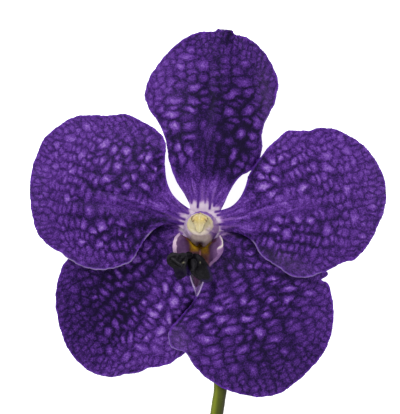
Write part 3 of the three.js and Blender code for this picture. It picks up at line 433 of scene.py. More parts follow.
                                   (1.76, -30.7, 3.7, 2.3, 0), (3.57, -33.73, 3.7, 1.9, 8),
                                   (4.79, -37.07, 2.9, 1.9, 5), (1.45, -36.76, 2.2, 2.1, 0),
                                   (9.03, -38.7, 2.5, 2.5, 0), (11.45, -33.73, 4.4, 2.0, 25),
                                   (14.48, -39.19, 3.6, 2.0, 125), (20.23, -31.01, 3.8, 2.2, 10),
                                   (15.99, -28.89, 2.7, 2.4, 60), (23.57, -20.1, 3.4, 2.1, 15),
                                   (19.02, -20.41, 2.3, 1.9, 30), (11.75, -20.41, 3.3, 2.3, 125),
                                   (1.15, -24.34, 3.4, 1.6, 15), (22.66, -34.34, 2.3, 1.9, 100),
                                   (29.32, -18.29, 3.8, 1.6, 8), (17.81, -24.04, 2.6, 2.1, -20),
                                   (24.47, -17.07, 4.0, 1.6, 12)],
                         'marks': [('crease_light_and_shade', -0.3, 1.5,
                                    [(5.94, -1.89), (9.18, -2.16), (12.42, -3.78), (14.58, -6.21)]),
                                   ('crease_light_and_shade', 0.2, 0.7,
                                    [(3.78, -1.49), (5.94, -1.3), (7.83, -1.76), (9.72, -2.97)]),
                                   ('hem_and_sheen', 0.41, 0.15,
                                    [(-8.4, -28.6), (-8.24, -29.43), (-8.1, -31.59), (-7.02, -33.48),
                                     (-4.86, -34.02), (-2.97, -35.78), (-1.35, -38.07)]),
                                   ('white', 0.9, 0.5, [(3.65, -1.51), (5.13, -1.4), (7.02, -2.05)]),
                                   ('white', 0.6, 0.5, [(5.94, -2.54), (7.02, -2.32), (8.64, -2.27)]),
                                   ('crease_light_and_shade', -0.5, 0.45,
                                    [(-0.81, -19.71), (-1.89, -21.33), (-3.24, -23.22), (-5.13, -25.65),
                                     (-7.02, -27.81)]),
                                   ('crease_light_and_shade', 0.16, 0.3,
                                    [(-2.16, -22.28), (-3.38, -23.9), (-4.86, -25.65)])],
                         'warp': 0.8}}



# Curved plates of the lip, and round forms as rings of centre x, y, z and two half widths
PLATES = {'ear_left': {'rows': [[[-2.5, -5.9, 13.9], [-4.1, -3.9, 14.5], [-5.3, -2.5, 15.8]],
                       [[-2.4, -6.6, 13.7], [-5.2, -4.9, 15.2], [-7.2, -3.9, 18.0]],
                       [[-2.3, -7.8, 13.7], [-5.4, -6.9, 15.4], [-7.4, -6.6, 18.9]],
                       [[-2.0, -9.3, 13.9], [-4.8, -9.0, 15.4], [-6.8, -9.2, 18.4]],
                       [[-1.8, -10.6, 14.3], [-3.6, -10.8, 15.4], [-5.0, -11.3, 17.0]]],
              't': 0.42},
 'ear_right': {'rows': [[[2.6, -5.9, 13.9], [4.0, -4.1, 14.5], [5.2, -3.1, 15.8]],
                        [[2.5, -6.7, 13.7], [4.8, -5.4, 15.3], [6.2, -4.8, 18.0]],
                        [[2.4, -8.0, 13.7], [4.9, -7.3, 15.6], [6.3, -7.4, 19.0]],
                        [[2.2, -9.6, 13.9], [4.4, -9.6, 15.6], [5.8, -9.8, 18.6]],
                        [[2.0, -11.0, 14.3], [3.4, -11.4, 15.4], [4.3, -11.9, 16.8]]],
               't': 0.42}}
LOFTS = {'pedicel': [[0.1, -0.9, 9.75, 3.0, 3.0], [0.08, -1.05, 8.8, 2.6, 2.6], [-0.1, -2.9, 7.4, 2.2, 2.2],
             [-0.4, -6.2, 4.7, 1.95, 1.95], [-0.7, -11.5, 2.9, 1.8, 1.8], [-0.8, -18, 2.0, 1.7, 1.7],
             [0.6, -27, 1.7, 1.65, 1.65], [3.4, -36, 1.64, 1.62, 1.62], [5.3, -44.6, 1.62, 1.6, 1.6],
             [4.6, -51, 1.6, 1.6, 1.6], [3.9, -56, 1.6, 1.6, 1.6]],
 'column': [[0.3, -1.4, 13.85, 4.5, 4.1], [0.3, -1.2, 15.2, 4.45, 4.05], [0.3, -0.6, 17.0, 4.35, 3.95],
            [0.2, 0.1, 19.0, 4.05, 3.6], [0.08, 0.44, 20.3, 3.7, 3.2], [0.04, 0.52, 20.8, 3.2, 2.7]],
 'anther': [[-0.12, 0.95, 0.0, 0.94, 0.94], [-0.12, 0.95, 0.22, 1.0, 1.0], [-0.12, 0.98, 0.56, 0.86, 0.86],
            [-0.12, 1.05, 0.83, 0.58, 0.58], [-0.12, 1.1, 1.0, 0.25, 0.25]],
 'neck': [[-0.1, -9.2, 13.6, 2.0, 1.5], [-0.4, -9.0, 15.5, 1.9, 1.2], [-0.8, -8.9, 17.5, 1.8, 1.1],
          [-1.4, -9.2, 20.4, 1.9, 1.2]],
 'spur': [[-0.2, -8.6, 13.2, 2.0, 1.9], [-0.4, -10.2, 12.0, 1.7, 1.6], [-0.65, -12.6, 10.8, 1.35, 1.3],
          [-0.85, -15.0, 9.7, 0.9, 0.9], [-0.95, -16.2, 9.2, 0.5, 0.5]],
 'throat': [[0, -6.4, 13.9, 2.6, 0.9], [0, -7.4, 13.7, 3.3, 1.3], [0, -9.0, 13.7, 3.3, 1.4],
            [0, -10.6, 14.1, 2.4, 1.0]]}


# ---------------------------------------------------------------- numbers
def smooth(a, b, x):
    t = np.clip((np.asarray(x, float) - a) / (b - a), 0.0, 1.0)
    return t * t * (3 - 2 * t)


def mix(a, b, t):
    return a + (b - a) * t


def cubic(table, s):
    """Smooth curve through (s, value) knots, straight past its ends."""
    k = np.array([r[0] for r in table], float)
    v = np.array([r[1] for r in table], float)
    n = len(k)
    d = (v[1:] - v[:-1]) / (k[1:] - k[:-1])
    m = np.empty(n)
    m[0], m[-1] = d[0], d[-1]
    m[1:-1] = (v[2:] - v[:-2]) / (k[2:] - k[:-2])
    s = np.asarray(s, float)
    i = np.clip(np.searchsorted(k, s, side="left") - 1, 0, n - 2)
    h = k[i + 1] - k[i]
    t = (s - k[i]) / h
    t2, t3 = t * t, t * t * t
    out = (2 * t3 - 3 * t2 + 1) * v[i] + (t3 - 2 * t2 + t) * h * m[i]
    out += (-2 * t3 + 3 * t2) * v[i + 1] + (t3 - t2) * h * m[i + 1]
    out = np.where(s <= k[0], v[0], out)
    return np.where(s >= k[-1], v[-1] + d[-1] * (s - k[-1]), out)


def spline(points, n, closed_form=600):
    """n points evenly spaced along a Catmull-Rom curve."""
    p = np.array(points, float)
    last = len(p) - 1
    t = np.linspace(0, last, closed_form * 2)
    i = np.minimum(t.astype(int), last - 1)
    w = (t - i)[:, None]
    p0, p1 = p[np.maximum(i - 1, 0)], p[i]
    p2, p3 = p[np.minimum(i + 1, last)], p[np.minimum(i + 2, last)]
    v0, v1 = (p2 - p0) * 0.5, (p3 - p1) * 0.5
    q = (2 * p1 - 2 * p2 + v0 + v1) * w**3 + (-3 * p1 + 3 * p2 - 2 * v0 - v1) * w**2 + v0 * w + p1
    run = np.concatenate([[0], np.cumsum(np.linalg.norm(np.diff(q, axis=0), axis=1))])
    at = np.linspace(0, run[-1], n)
    return np.stack([np.interp(at, run, q[:, j]) for j in range(p.shape[1])], 1)


def lattice(i, j, seed):
    """A repeatable random number in 0..1 for whole-number places."""
    h = (i.astype(np.int64) * 374761393 + j.astype(np.int64) * 668265263 + seed * 1442695041) & 0xFFFFFFFF
    h = ((h ^ (h >> 13)) * 1274126177) & 0xFFFFFFFF
    h = ((h ^ (h >> 16)) * 2246822519) & 0xFFFFFFFF
    return ((h ^ (h >> 15)) & 0xFFFFFF) / float(0xFFFFFF)


def noise(x, y, seed=0):
    """Smooth noise, -1..1, one lump per unit."""
    x, y = np.asarray(x, float), np.asarray(y, float)
    i, j = np.floor(x), np.floor(y)
    fx, fy = x - i, y - j
    ux, uy = fx**3 * (fx * (fx * 6 - 15) + 10), fy**3 * (fy * (fy * 6 - 15) + 10)

    def g(di, dj):
        a = lattice(i + di, j + dj, seed) * 2 * np.pi
        return np.cos(a) * (fx - di) + np.sin(a) * (fy - dj)

    lo = mix(g(0, 0), g(1, 0), ux)
    hi = mix(g(0, 1), g(1, 1), ux)
    return mix(lo, hi, uy) * 1.5


# ---------------------------------------------------------------- the net of veins on a blade
class Net:
    """Veins fan out of the claw and fork on their way to the margin, and rungs join them."""

    def __init__(self, spec, fan, seed):
        self.axis = np.radians(spec["axis"])
        self.s0, self.h0 = fan["s0"], fan["h0"]
        self.fan, self.seed = fan, seed
        rng = np.random.default_rng(seed)
        edge_l, edge_r = spline(spec["L"], 700), spline(spec["R"], 700)
        edge = np.concatenate([edge_l, edge_r])
        q, psi = self.polar(edge[:, 0], edge[:, 1])
        self.dq = 0.08
        self.q0 = float(q.min()) - 1.0
        q1 = float(q.max()) + 1.5
        steps = int((q1 - self.q0) / self.dq) + 1
        qs = self.q0 + np.arange(steps) * self.dq
        wide = {}
        for side in (1, -1):
            ext = np.zeros(steps)
            idx = np.clip(((q - self.q0) / self.dq).astype(int), 0, steps - 1)
            np.maximum.at(ext, idx, side * psi)
            ext = np.maximum.accumulate(ext)
            pad = np.convolve(np.pad(ext, 20, mode="edge"), np.ones(41) / 41, mode="valid")
            wide[side] = np.maximum(pad, ext) + 0.03
        # how far the margin is in each direction
        bins = np.linspace(-2.4, 2.4, 193)
        far = np.full(193, -1.0)
        k = np.clip(np.round((psi + 2.4) / 4.8 * 192).astype(int), 0, 192)
        np.maximum.at(far, k, q)
        good = far > 0
        self.far_x, self.far_q = bins, np.interp(bins, bins[good], far[good])
        n0 = fan.get("start", 6)
        eta = (np.arange(n0 + 1) / n0 * 2 - 1) * 1.0
        pos = np.where(eta > 0, eta * wide[1][0], eta * wide[-1][0])
        pos[1:-1] += rng.normal(0, 0.02, n0 - 1) * (wide[1][0] + wide[-1][0])
        vid = list(range(n0 + 1))
        order = [0] * (n0 + 1)
        sid = list(range(n0))
        nsid, nvid = n0, n0 + 1
        birth = {s: self.q0 for s in sid}
        death = {}
        drift = rng.normal(0, 1, 400)
        last_fork = {v: self.q0 for v in vid}
        self.rows = []
        a1, a2 = wide[1][0], wide[-1][0]
        for kq in range(steps):
            qq = qs[kq]
            b1, b2 = wide[1][kq], wide[-1][kq]
            pos = np.where(pos > 0, pos * b1 / a1, pos * b2 / a2)
            a1, a2 = b1, b2
            m = max(qq, self.h0) if qq > self.h0 else self.h0
            # even out the gaps, and wander
            rate = self.dq / fan.get("relax", 2.6)
            inner = pos[1:-1] + rate * (0.5 * (pos[:-2] + pos[2:]) - pos[1:-1])
            wob = np.array([np.sin(qq * (0.55 + 0.25 * drift[v % 400]) + 9 * drift[(v * 7) % 400]) for v in vid[1:-1]])
            inner = inner + wob * self.dq * fan.get("wander", 0.10) / m
            pos = np.concatenate([[-b2], inner, [b1]])
            pos = np.maximum.accumulate(pos + np.arange(len(pos)) * 1e-7)
            # fork
            gap = np.diff(pos) * m
            mid = 0.5 * (pos[:-1] + pos[1:])
            frac = qq / np.interp(mid, self.far_x, self.far_q)
            want = self.target(qq, frac)
            j = 0
            while j < len(gap):
                jitter = 0.88 + 0.3 * lattice(np.array([sid[j]]), np.array([3]), seed)[0]
                if gap[j] > want[j] * 1.42 * jitter:
                    # the child leaves the neighbour that forked longest ago
                    left_ok = last_fork.get(vid[j], -9) < last_fork.get(vid[j + 1], -9)
                    if j == 0:
                        left_ok = False
                    if j == len(gap) - 1:
                        left_ok = True
                    par = j if left_ok else j + 1
                    p = pos[par] + (1 if left_ok else -1) * 0.12 * (pos[j + 1] - pos[j])
                    pos = np.insert(pos, j + 1, p)
                    o = order[par] + 1
                    vid.insert(j + 1, nvid)
                    order.insert(j + 1, o)
                    last_fork[vid[par]] = qq
                    last_fork[nvid] = qq
                    if left_ok:
                        sid.insert(j, nsid)
                    else:
                        sid.insert(j + 1, nsid)
                    birth[nsid] = qq
                    nsid += 1
                    nvid += 1
                    gap = np.diff(pos) * m
                    mid = 0.5 * (pos[:-1] + pos[1:])
                    frac = qq / np.interp(mid, self.far_x, self.far_q)
                    want = self.target(qq, frac)
                    j += 2
                else:
                    j += 1
            self.rows.append((pos.copy(), np.array(sid), np.array(order), np.array(vid)))
        self.qs, self.q1 = qs, q1
        # rungs of each strip
        self.rungs = {}
        for s in range(nsid):
            # the strip's own direction, about halfway along its life
            r = [(k, list(row[1]).index(s)) for k, row in enumerate(self.rows) if k % 25 == 0 and s in row[1]]
            qq = birth[s] + rng.uniform(0.2, 1.2)
            out = [birth[s] - 0.01]
            while qq < q1:
                if r:
                    kk = min(r, key=lambda e: abs(self.qs[e[0]] - qq))
                    row = self.rows[kk[0]]
                    jj = kk[1]
                    mid = 0.5 * (row[0][jj] + row[0][jj + 1])
                    frac = qq / np.interp(mid, self.far_x, self.far_q)
                else:
                    frac = 1.0
                want = self.length(qq, frac)
                qq += max(0.74 * want, want * np.exp(rng.normal(0, 0.22)))
                out.append(qq)
            out.append(q1 + 5)
            self.rungs[s] = (np.array(out),)

    def target(self, q, frac):
        f = self.fan
        w = mix(f.get("w_in", 2.0), f.get("w_mid", 2.9), smooth(f.get("inner", 5), f.get("inner", 5) + 7, q))
        w = mix(w, f.get("w_out", 2.4), smooth(0.55, 0.78, frac))
        return mix(w, f.get("w_rim", 1.35), smooth(0.80, 0.93, frac))

    def length(self, q, frac):
        f = self.fan
        l = mix(f.get("l_in", 3.6), f.get("l_mid", 2.25), smooth(f.get("inner", 5) - 1, f.get("inner", 5) + 6, q))
        l = mix(l, f.get("l_out", 1.55), smooth(0.42, 0.72, frac))
        return mix(l, f.get("l_rim", 2.1), smooth(0.84, 0.95, frac))

    def polar(self, x, y):
        ca, sa = np.cos(self.axis), np.sin(self.axis)
        ox, oy = self.fan.get("o", (0.0, 0.0))
        x, y = x - ox, y - oy
        s, t = x * ca + y * sa, -x * sa + y * ca
        k = 1.0
        z = (s - self.s0 - self.h0) / k
        h = self.h0 + k * np.logaddexp(0.0, z)
        q = np.sqrt(h * h + t * t) + (s - self.s0 - h)
        return q, np.arctan2(t, h)

    def veins(self, q, psi):
        """How far a place is from the vein on either side, in mm, and how young those veins are."""
        k = np.clip(np.round((q - self.q0) / self.dq).astype(int), 0, len(self.rows) - 1)
        n = len(q)
        a, b, oa, ob = np.ones(n), np.ones(n), np.zeros(n), np.zeros(n)
        ordering = np.argsort(k, kind="stable")
        cuts = np.concatenate([[0], np.nonzero(np.diff(k[ordering]))[0] + 1, [n]])
        for i0, i1 in zip(cuts[:-1], cuts[1:]):
            ii = ordering[i0:i1]
            pos, sid, order, vid = self.rows[k[ii[0]]]
            j = np.clip(np.searchsorted(pos, psi[ii]) - 1, 0, len(pos) - 2)
            r = np.maximum(q[ii], self.h0)
            a[ii], b[ii] = (psi[ii] - pos[j]) * r, (pos[j + 1] - psi[ii]) * r
            oa[ii], ob[ii] = order[j], order[j + 1]
        return a, b, oa, ob

    def plan(self, q, psi):
        """Where a place of the fan lies on the blade."""
        q, psi = np.asarray(q, float), np.asarray(psi, float)
        lo, hi = self.s0 + q - 40.0, self.s0 + q + 40.0
        for _ in range(40):
            s = 0.5 * (lo + hi)
            h = self.h0 + np.logaddexp(0.0, s - self.s0 - self.h0)
            v = h / np.cos(psi) + (s - self.s0 - h)
            big = v > q
            hi, lo = np.where(big, s, hi), np.where(big, lo, s)
        h = self.h0 + np.logaddexp(0.0, s - self.s0 - self.h0)
        t = h * np.tan(psi)
        ox, oy = self.fan.get("o", (0.0, 0.0))
        ca, sa = np.cos(self.axis), np.sin(self.axis)
        return ox + s * ca - t * sa, oy + s * sa + t * ca



def near(x, y, line):
    """Distance to a run of points, and how far along it the nearest place lies (0..1)."""
    P = np.asarray(line, float)
    best, where = np.full(np.shape(x), 1e9), np.zeros(np.shape(x))
    run = np.concatenate([[0], np.cumsum(np.linalg.norm(np.diff(P, axis=0), axis=1))])
    for k in range(len(P) - 1):
        a, b = P[k], P[k + 1]
        d = b - a
        w = np.clip(((x - a[0]) * d[0] + (y - a[1]) * d[1]) / max(d @ d, 1e-12), 0, 1)
        e = np.hypot(x - a[0] - w * d[0], y - a[1] - w * d[1])
        where = np.where(e < best, (run[k] + w * (run[k + 1] - run[k])) / run[-1], where)
        best = np.minimum(best, e)
    return best, where


def net_sites(net, spec):
    """Middles of the cells between the veins, with each cell's direction and size, in mm."""
    rng = np.random.default_rng(net.seed + 5)
    where = {}
    for k, (pos, sid, order, vid) in enumerate(net.rows):
        for j, s in enumerate(sid):
            where.setdefault(int(s), []).append((k, pos[j], pos[j + 1]))
    Q, PSI, W, L = [], [], [], []
    for s, rows in where.items():
        kk = np.array([r[0] for r in rows])
        lo, hi = np.array([r[1] for r in rows]), np.array([r[2] for r in rows])
        at = net.rungs[s][0]
        for j in range(len(at) - 1):
            q = 0.5 * (at[j] + at[j + 1])
            if j == 0:
                q = at[1] - 0.5 * min(at[1] - at[0], 1.6)
            k = (q - net.q0) / net.dq
            if k < kk[0] or k > kk[-1] or q > net.q1:
                continue
            a, b = np.interp(k, kk, lo), np.interp(k, kk, hi)
            w = (b - a) * max(q, net.h0)
            frac = q / np.interp(0.5 * (a + b), net.far_x, net.far_q)
            if frac > 1.12:
                continue
            if w < 0.5 * net.target(q, frac):
                continue
            Q.append(q)
            PSI.append(0.5 * (a + b) + rng.normal(0, 0.12) * (b - a))
            W.append(w)
            L.append(min(at[j + 1] - at[j], 1.7 * net.length(q, frac)))
    Q, PSI, W, L = map(np.array, (Q, PSI, W, L))
    Q = Q + rng.normal(0, 0.13, len(Q)) * L
    x, y = net.plan(Q, PSI)
    x1, y1 = net.plan(Q + 0.05, PSI)
    d = np.stack([x1 - x, y1 - y], 1)
    d /= np.linalg.norm(d, axis=1, keepdims=True)
    frac = Q / np.interp(PSI, net.far_x, net.far_q)
    # away from the claw the veins bend to run along the blade
    bend = (net.fan.get("bend", 0.0) * smooth(0.2, 0.6, frac))[:, None]
    d = d * (1 - bend) + bend * np.array([[np.cos(net.axis), np.sin(net.axis)]])
    d /= np.linalg.norm(d, axis=1, keepdims=True)
    # leave out cells that would be squeezed thin
    wt, lt = net.target(Q, frac), net.length(Q, frac)
    keep = np.zeros(len(Q), bool)
    for k in rng.permutation(len(Q)):
        dx, dy = x[keep] - x[k], y[keep] - y[k]
        par, per = dx * d[k, 0] + dy * d[k, 1], -dx * d[k, 1] + dy * d[k, 0]
        if not keep.any() or ((par / lt[k]) ** 2 + (per / wt[k]) ** 2).min() > 0.70 ** 2:
            keep[k] = True
    x, y, d, Q, PSI, frac = x[keep], y[keep], d[keep], Q[keep], PSI[keep], frac[keep]
    W = 0.5 * (W[keep] + wt[keep]) * rng.uniform(0.85, 1.2, len(Q))
    L = 0.35 * L[keep] + 0.65 * lt[keep]
    r1, r2, r3 = rng.random(len(Q)), rng.random(len(Q)), rng.random(len(Q))
    # the large pale cells have places of their own
    r1 = r1 * 0.62
    big = np.zeros(len(Q), bool)
    for sx, sy, along, across, turn in net.fan.get("spots", ()):
        dx, dy = x - sx, y - sy
        par, per = dx * d[:, 0] + dy * d[:, 1], -dx * d[:, 1] + dy * d[:, 0]
        k = int(np.argmin((par / L) ** 2 + (per / W) ** 2 + 9.0 * big))
        x[k], y[k], big[k] = sx, sy, True
        r1[k], r2[k] = rng.uniform(0.74, 1.0), rng.uniform(0.0, 0.5)
        d[k] = np.cos(np.radians(turn)), np.sin(np.radians(turn))
        L[k], W[k] = along * 1.08, across * 1.08
    crowd = np.ones(len(Q), bool)
    for k in np.nonzero(big)[0]:
        dx, dy = x - x[k], y - y[k]
        par, per = dx * d[k, 0] + dy * d[k, 1], -dx * d[k, 1] + dy * d[k, 0]
        crowd &= ((par / L[k]) ** 2 + (per / W[k]) ** 2 > 0.66 ** 2) | big
    x, y, d, W, L, Q, PSI, frac, r1, r2, r3 = (a[crowd] for a in (x, y, d, W, L, Q, PSI, frac, r1, r2, r3))
    return dict(x=x, y=y, d=d, w=W, l=L, q=Q, psi=PSI, frac=frac, r1=r1, r2=r2, r3=r3)


def net_tones(net, spec, x, y, seed):
    """Per point: how far inside its cell it is, the cell's own brightness, and the dark veins."""
    S = net_sites(net, spec)
    lx, ly = 0.40 * noise(x / 2.6, y / 2.6, seed + 21), 0.40 * noise(x / 2.6, y / 2.6, seed + 23)
    wx = lx + 0.34 * noise(x / 1.1, y / 1.1, seed + 22) + 0.09 * noise(x / 0.5, y / 0.5, seed + 26)
    wy = ly + 0.34 * noise(x / 1.1, y / 1.1, seed + 24) + 0.09 * noise(x / 0.5, y / 0.5, seed + 27)
    lx, ly, wx, wy = (a * net.fan.get("warp", 1.0) for a in (lx, ly, wx, wy))
    X, Y = x + wx, y + wy
    n = len(x)
    f1, f2 = np.full(n, 1e9), np.full(n, 1e9)
    i1, i2 = np.zeros(n, int), np.zeros(n, int)
    # small tiles, each with the cells near it
    step = 4.0
    key = np.floor(X / step).astype(int) * 1000 + np.floor(Y / step).astype(int)
    for kk in np.unique(key):
        ii = np.nonzero(key == kk)[0]
        cx, cy = X[ii].mean(), Y[ii].mean()
        near = np.nonzero(np.hypot(S["x"] - cx, S["y"] - cy) < 9.0)[0]
        if len(near) < 3:
            near = np.argsort(np.hypot(S["x"] - cx, S["y"] - cy))[:6]
        dx, dy = X[ii][:, None] - S["x"][near], Y[ii][:, None] - S["y"][near]
        par = dx * S["d"][near, 0] + dy * S["d"][near, 1]
        per = -dx * S["d"][near, 1] + dy * S["d"][near, 0]
        d2 = np.sqrt((par / S["l"][near]) ** 2 + (per / S["w"][near]) ** 2)
        o = np.argpartition(d2, 1, axis=1)[:, :2]
        a, b = np.take_along_axis(d2, o[:, :1], 1)[:, 0], np.take_along_axis(d2, o[:, 1:2], 1)[:, 0]
        f1[ii], f2[ii] = np.minimum(a, b), np.maximum(a, b)
        i1[ii] = near[np.where(a <= b, o[:, 0], o[:, 1])]
        i2[ii] = near[np.where(a <= b, o[:, 1], o[:, 0])]
    size = np.sqrt(S["w"] * S["l"])
    small = np.minimum(S["w"], S["l"])
    gap = (f2 - f1) * small[i1]                    # about twice the way to the vein, in mm
    q, psi = net.polar(x, y)
    frac = q / np.interp(psi, net.far_x, net.far_q)
    m = dict(q=q, psi=psi, frac=frac, r1=S["r1"][i1], size=size[i1])
    inner = 1 - smooth(0.5, 0.9, frac)
    # veins: thick in the inner half, thin towards the margin, and here and there almost missing
    wide = mix(0.44, 0.80, inner) * (1 + 0.45 * noise(x / 1.5, y / 1.5, seed + 31))
    weak = 0.76 + 0.50 * noise(x / 1.3, y / 1.3, seed + 32)
    # the rungs between the cells of one row are finer and fainter than the veins beside them
    ex, ey = S["x"][i2] - S["x"][i1], S["y"][i2] - S["y"][i1]
    dx, dy = S["d"][i1, 0], S["d"][i1, 1]
    par, per = np.abs(ex * dx + ey * dy) / S["l"][i1], np.abs(-ex * dy + ey * dx) / S["w"][i1]
    rung = smooth(0.42, 0.72, par / np.maximum(par + per, 1e-6))
    line = np.exp(-((gap / (wide * mix(1.12, 0.78, rung))) ** 2)) * weak * mix(1.12, 0.74, rung)
    qv, pv = net.polar(X, Y)
    da, db, oa, ob = net.veins(qv, pv)
    main = np.maximum(np.exp(-((da / 0.32) ** 2)) * (oa < 1), np.exp(-((db / 0.32) ** 2)) * (ob < 1))
    main = main * (1 - smooth(0.35, 0.8, frac)) * (0.75 + 0.4 * noise(x / 3, y / 3, seed + 35))
    m["line"] = np.clip(np.maximum(line, main), 0, 1)
    # the cells: lightest in the middle, fading into the veins
    r = S["r1"][i1]
    cx, cy = x + lx + 0.35 * (wx - lx) - S["x"][i1], y + ly + 0.35 * (wy - ly) - S["y"][i1]
    f1 = np.sqrt(((cx * dx + cy * dy) / S["l"][i1]) ** 2 + ((-cx * dy + cy * dx) / S["w"][i1]) ** 2)
    soft = mix(0.46, 0.40, inner) * (0.85 + 0.3 * S["r3"][i1])
    core = np.exp(-((f1 / soft) ** 2)) * smooth(-0.35, mix(0.55, 1.0, inner), gap / np.clip(small[i1] * 0.62, 0.5, 1.2))
    shade = 0.85 + 0.30 * noise(x / 0.8, y / 0.8, seed + 33)
    m["blob"] = np.clip(core * shade, 0, 1.2)
    big = smooth(0.45, 0.92, r) * (1 - np.where(r > 0.7, 0.05, 0.55) * smooth(0.6, 0.95, frac)) * smooth(6, 12, q)
    dim = smooth(0.60, 0.95, S["r2"][i1])
    m["pale"] = (0.60 + 0.50 * big) * (1 - 0.6 * dim)
    m["rimward"] = smooth(0.62, 0.9, frac)
    # the claw, and a strip along the midrib, have no cells
    a = net.axis
    s, t = x * np.cos(a) + y * np.sin(a), -x * np.sin(a) + y * np.cos(a)
    b0, b1, bw, bk = net.fan["calm"]
    claw = 1 - smooth(b0, b0 + net.fan.get("claw", 6.5), q + 1.9 * noise(psi / 0.12, q / 9.0, seed + 41))
    strip = bk * (1 - smooth(b1, b1 + 12, s)) * np.exp(-(((t - net.fan.get("mid", 0.0)) / bw) ** 2))
    m["calm"] = np.clip(np.maximum(claw, strip), 0, 1)
    # painted light and shade: lighter and darker zones, partly the blade's own colour and partly shade painted where it
    # curves away from the light and beside the parts that lie over it
    m["tone_and_shade"] = zones(net.fan.get("tone_and_shade", []), x, y)
    # a painted greyish sheen on the parts of the blade that roll away
    m["grey_sheen"] = np.clip(zones(net.fan.get("grey_sheen", []), x, y), 0, 0.8)
    return m


def zones(items, x, y):
    """How much lighter or darker a part of the blade is than the rest: zones partly of its own colour and partly of
    painted light and shade.
    """
    out = np.zeros(len(x))
    for bx, by, amp, sx, sy, turn in items:
        c, d = np.cos(np.radians(turn)), np.sin(np.radians(turn))
        p, q = ((x - bx) * c + (y - by) * d) / sx, (-(x - bx) * d + (y - by) * c) / sy
        out += amp * np.exp(-p * p - q * q)
    return out


def line_marks(fan, x, y, dist):
    """Painted shade and light along creases and ridges, a painted pale sheen along rolled margins, and violet streaks
    in the claws.
    """
    out = dict(crease_light_and_shade=np.zeros(len(x)), hem_and_sheen=np.zeros(len(x)), streak=np.zeros(len(x)), white=np.zeros(len(x)))
    for kind, amount, width, line in fan.get("marks", ()):
        d, w = near(x, y, line)
        ends = smooth(0.0, 0.12, w) * (1 - smooth(0.8, 1.0, w))
        # painted sheen: a pale greyish band painted along the rolled margins
        if kind == "hem_and_sheen":
            val = amount * np.exp(-((dist / width) ** 2)) * (1 - smooth(0.9, 1.8, d)) * smooth(0.0, 0.06, w) * (1 - smooth(0.94, 1.0, w))
            out["hem_and_sheen"] = np.maximum(out["hem_and_sheen"], val)
        elif kind == "streak":
            val = amount * np.exp(-((d / width) ** 2)) * (1 - smooth(0.75, 1.0, w))
            out["streak"] = np.maximum(out["streak"], val)
        elif kind == "white":
            val = amount * np.exp(-((d / (width * (1.2 - 0.85 * w))) ** 2)) * (1 - smooth(0.25, 1.0, w)) * (0.85 + 0.4 * noise(x / 0.5, y / 0.5, 78))
            out["white"] = np.maximum(out["white"], val)
        else:
            # painted shade along creases and painted light along ridges, in the colour only
            out["crease_light_and_shade"] += amount * np.exp(-((d / width) ** 2)) * ends * (0.8 + 0.6 * noise(x / 0.9, y / 0.9, 77))
    return out


LIGHT = 1.42        # how bright the studio light falls on the table
GLOW = 0.84         # how much the table itself glows, as a light table does


# ---------------------------------------------------------------- meshes
def height(spec):
    a = np.radians(spec["axis"])
    ca, sa = np.cos(a), np.sin(a)
    gd, gw, g0, g1 = spec["groove"]

    def z(x, y):
        s, t = x * ca + y * sa, -x * sa + y * ca
        out = cubic(spec["prof"], s) - np.maximum(0, cubic(spec["curv"], s)) * t * t
        out -= gd * smooth(g0, g0 + 4, s) * (1 - smooth(g1, g1 + 8, s)) * np.exp(-((t / gw) ** 2))
        for bx, by, amp, sx, sy, turn in spec["bumps"]:
            c, d = np.cos(np.radians(turn)), np.sin(np.radians(turn))
            p, q = ((x - bx) * c + (y - by) * d) / sx, (-(x - bx) * d + (y - by) * c) / sy
            out += amp * np.exp(-p * p - q * q)
        return out

    return z


def new_mesh(name, verts, faces, attrs=None, uv=None):
    """verts in mm about the column's axis; attrs are per-point numbers."""
    me = bpy.data.meshes.new(name)
    verts = np.asarray(verts) + SHIFT
    verts[:, 2] = np.maximum(verts[:, 2], 0.0)
    me.from_pydata((verts * 0.001).tolist(), [], [list(map(int, f)) for f in faces])
    me.validate()
    for key, val in (attrs or {}).items():
        a = me.attributes.new(key, "FLOAT", "POINT")
        a.data.foreach_set("value", np.ascontiguousarray(val, dtype=np.float32))
    if uv is not None:
        layer = me.uv_layers.new(name="UVMap")
        loops = np.empty(len(me.loops), dtype=np.int32)
        me.loops.foreach_get("vertex_index", loops)
        layer.data.foreach_set("uv", np.ascontiguousarray(uv[loops], dtype=np.float32).ravel())
    me.polygons.foreach_set("use_smooth", np.ones(len(me.polygons), dtype=bool))
    me.update()
    ob = bpy.data.objects.new(name, me)
    bpy.context.collection.objects.link(ob)
    return ob


def grid_faces(nu, nv, start=0, flip=False):
    i = np.arange(nv)[:, None] * (nu + 1) + np.arange(nu)[None, :] + start
    q = np.stack([i, i + 1, i + nu + 2, i + nu + 1], -1).reshape(-1, 4)
    return q[:, ::-1] if flip else q


def rim_loop(nu, nv):
    """Grid places around the border of a (nu+1) x (nv+1) grid, counter-clockwise."""
    a = [(i, 0) for i in range(nu)]
    a += [(nu, j) for j in range(nv)]
    a += [(i, nv) for i in range(nu, 0, -1)]
    a += [(0, j) for j in range(nv, 0, -1)]
    return np.array(a)


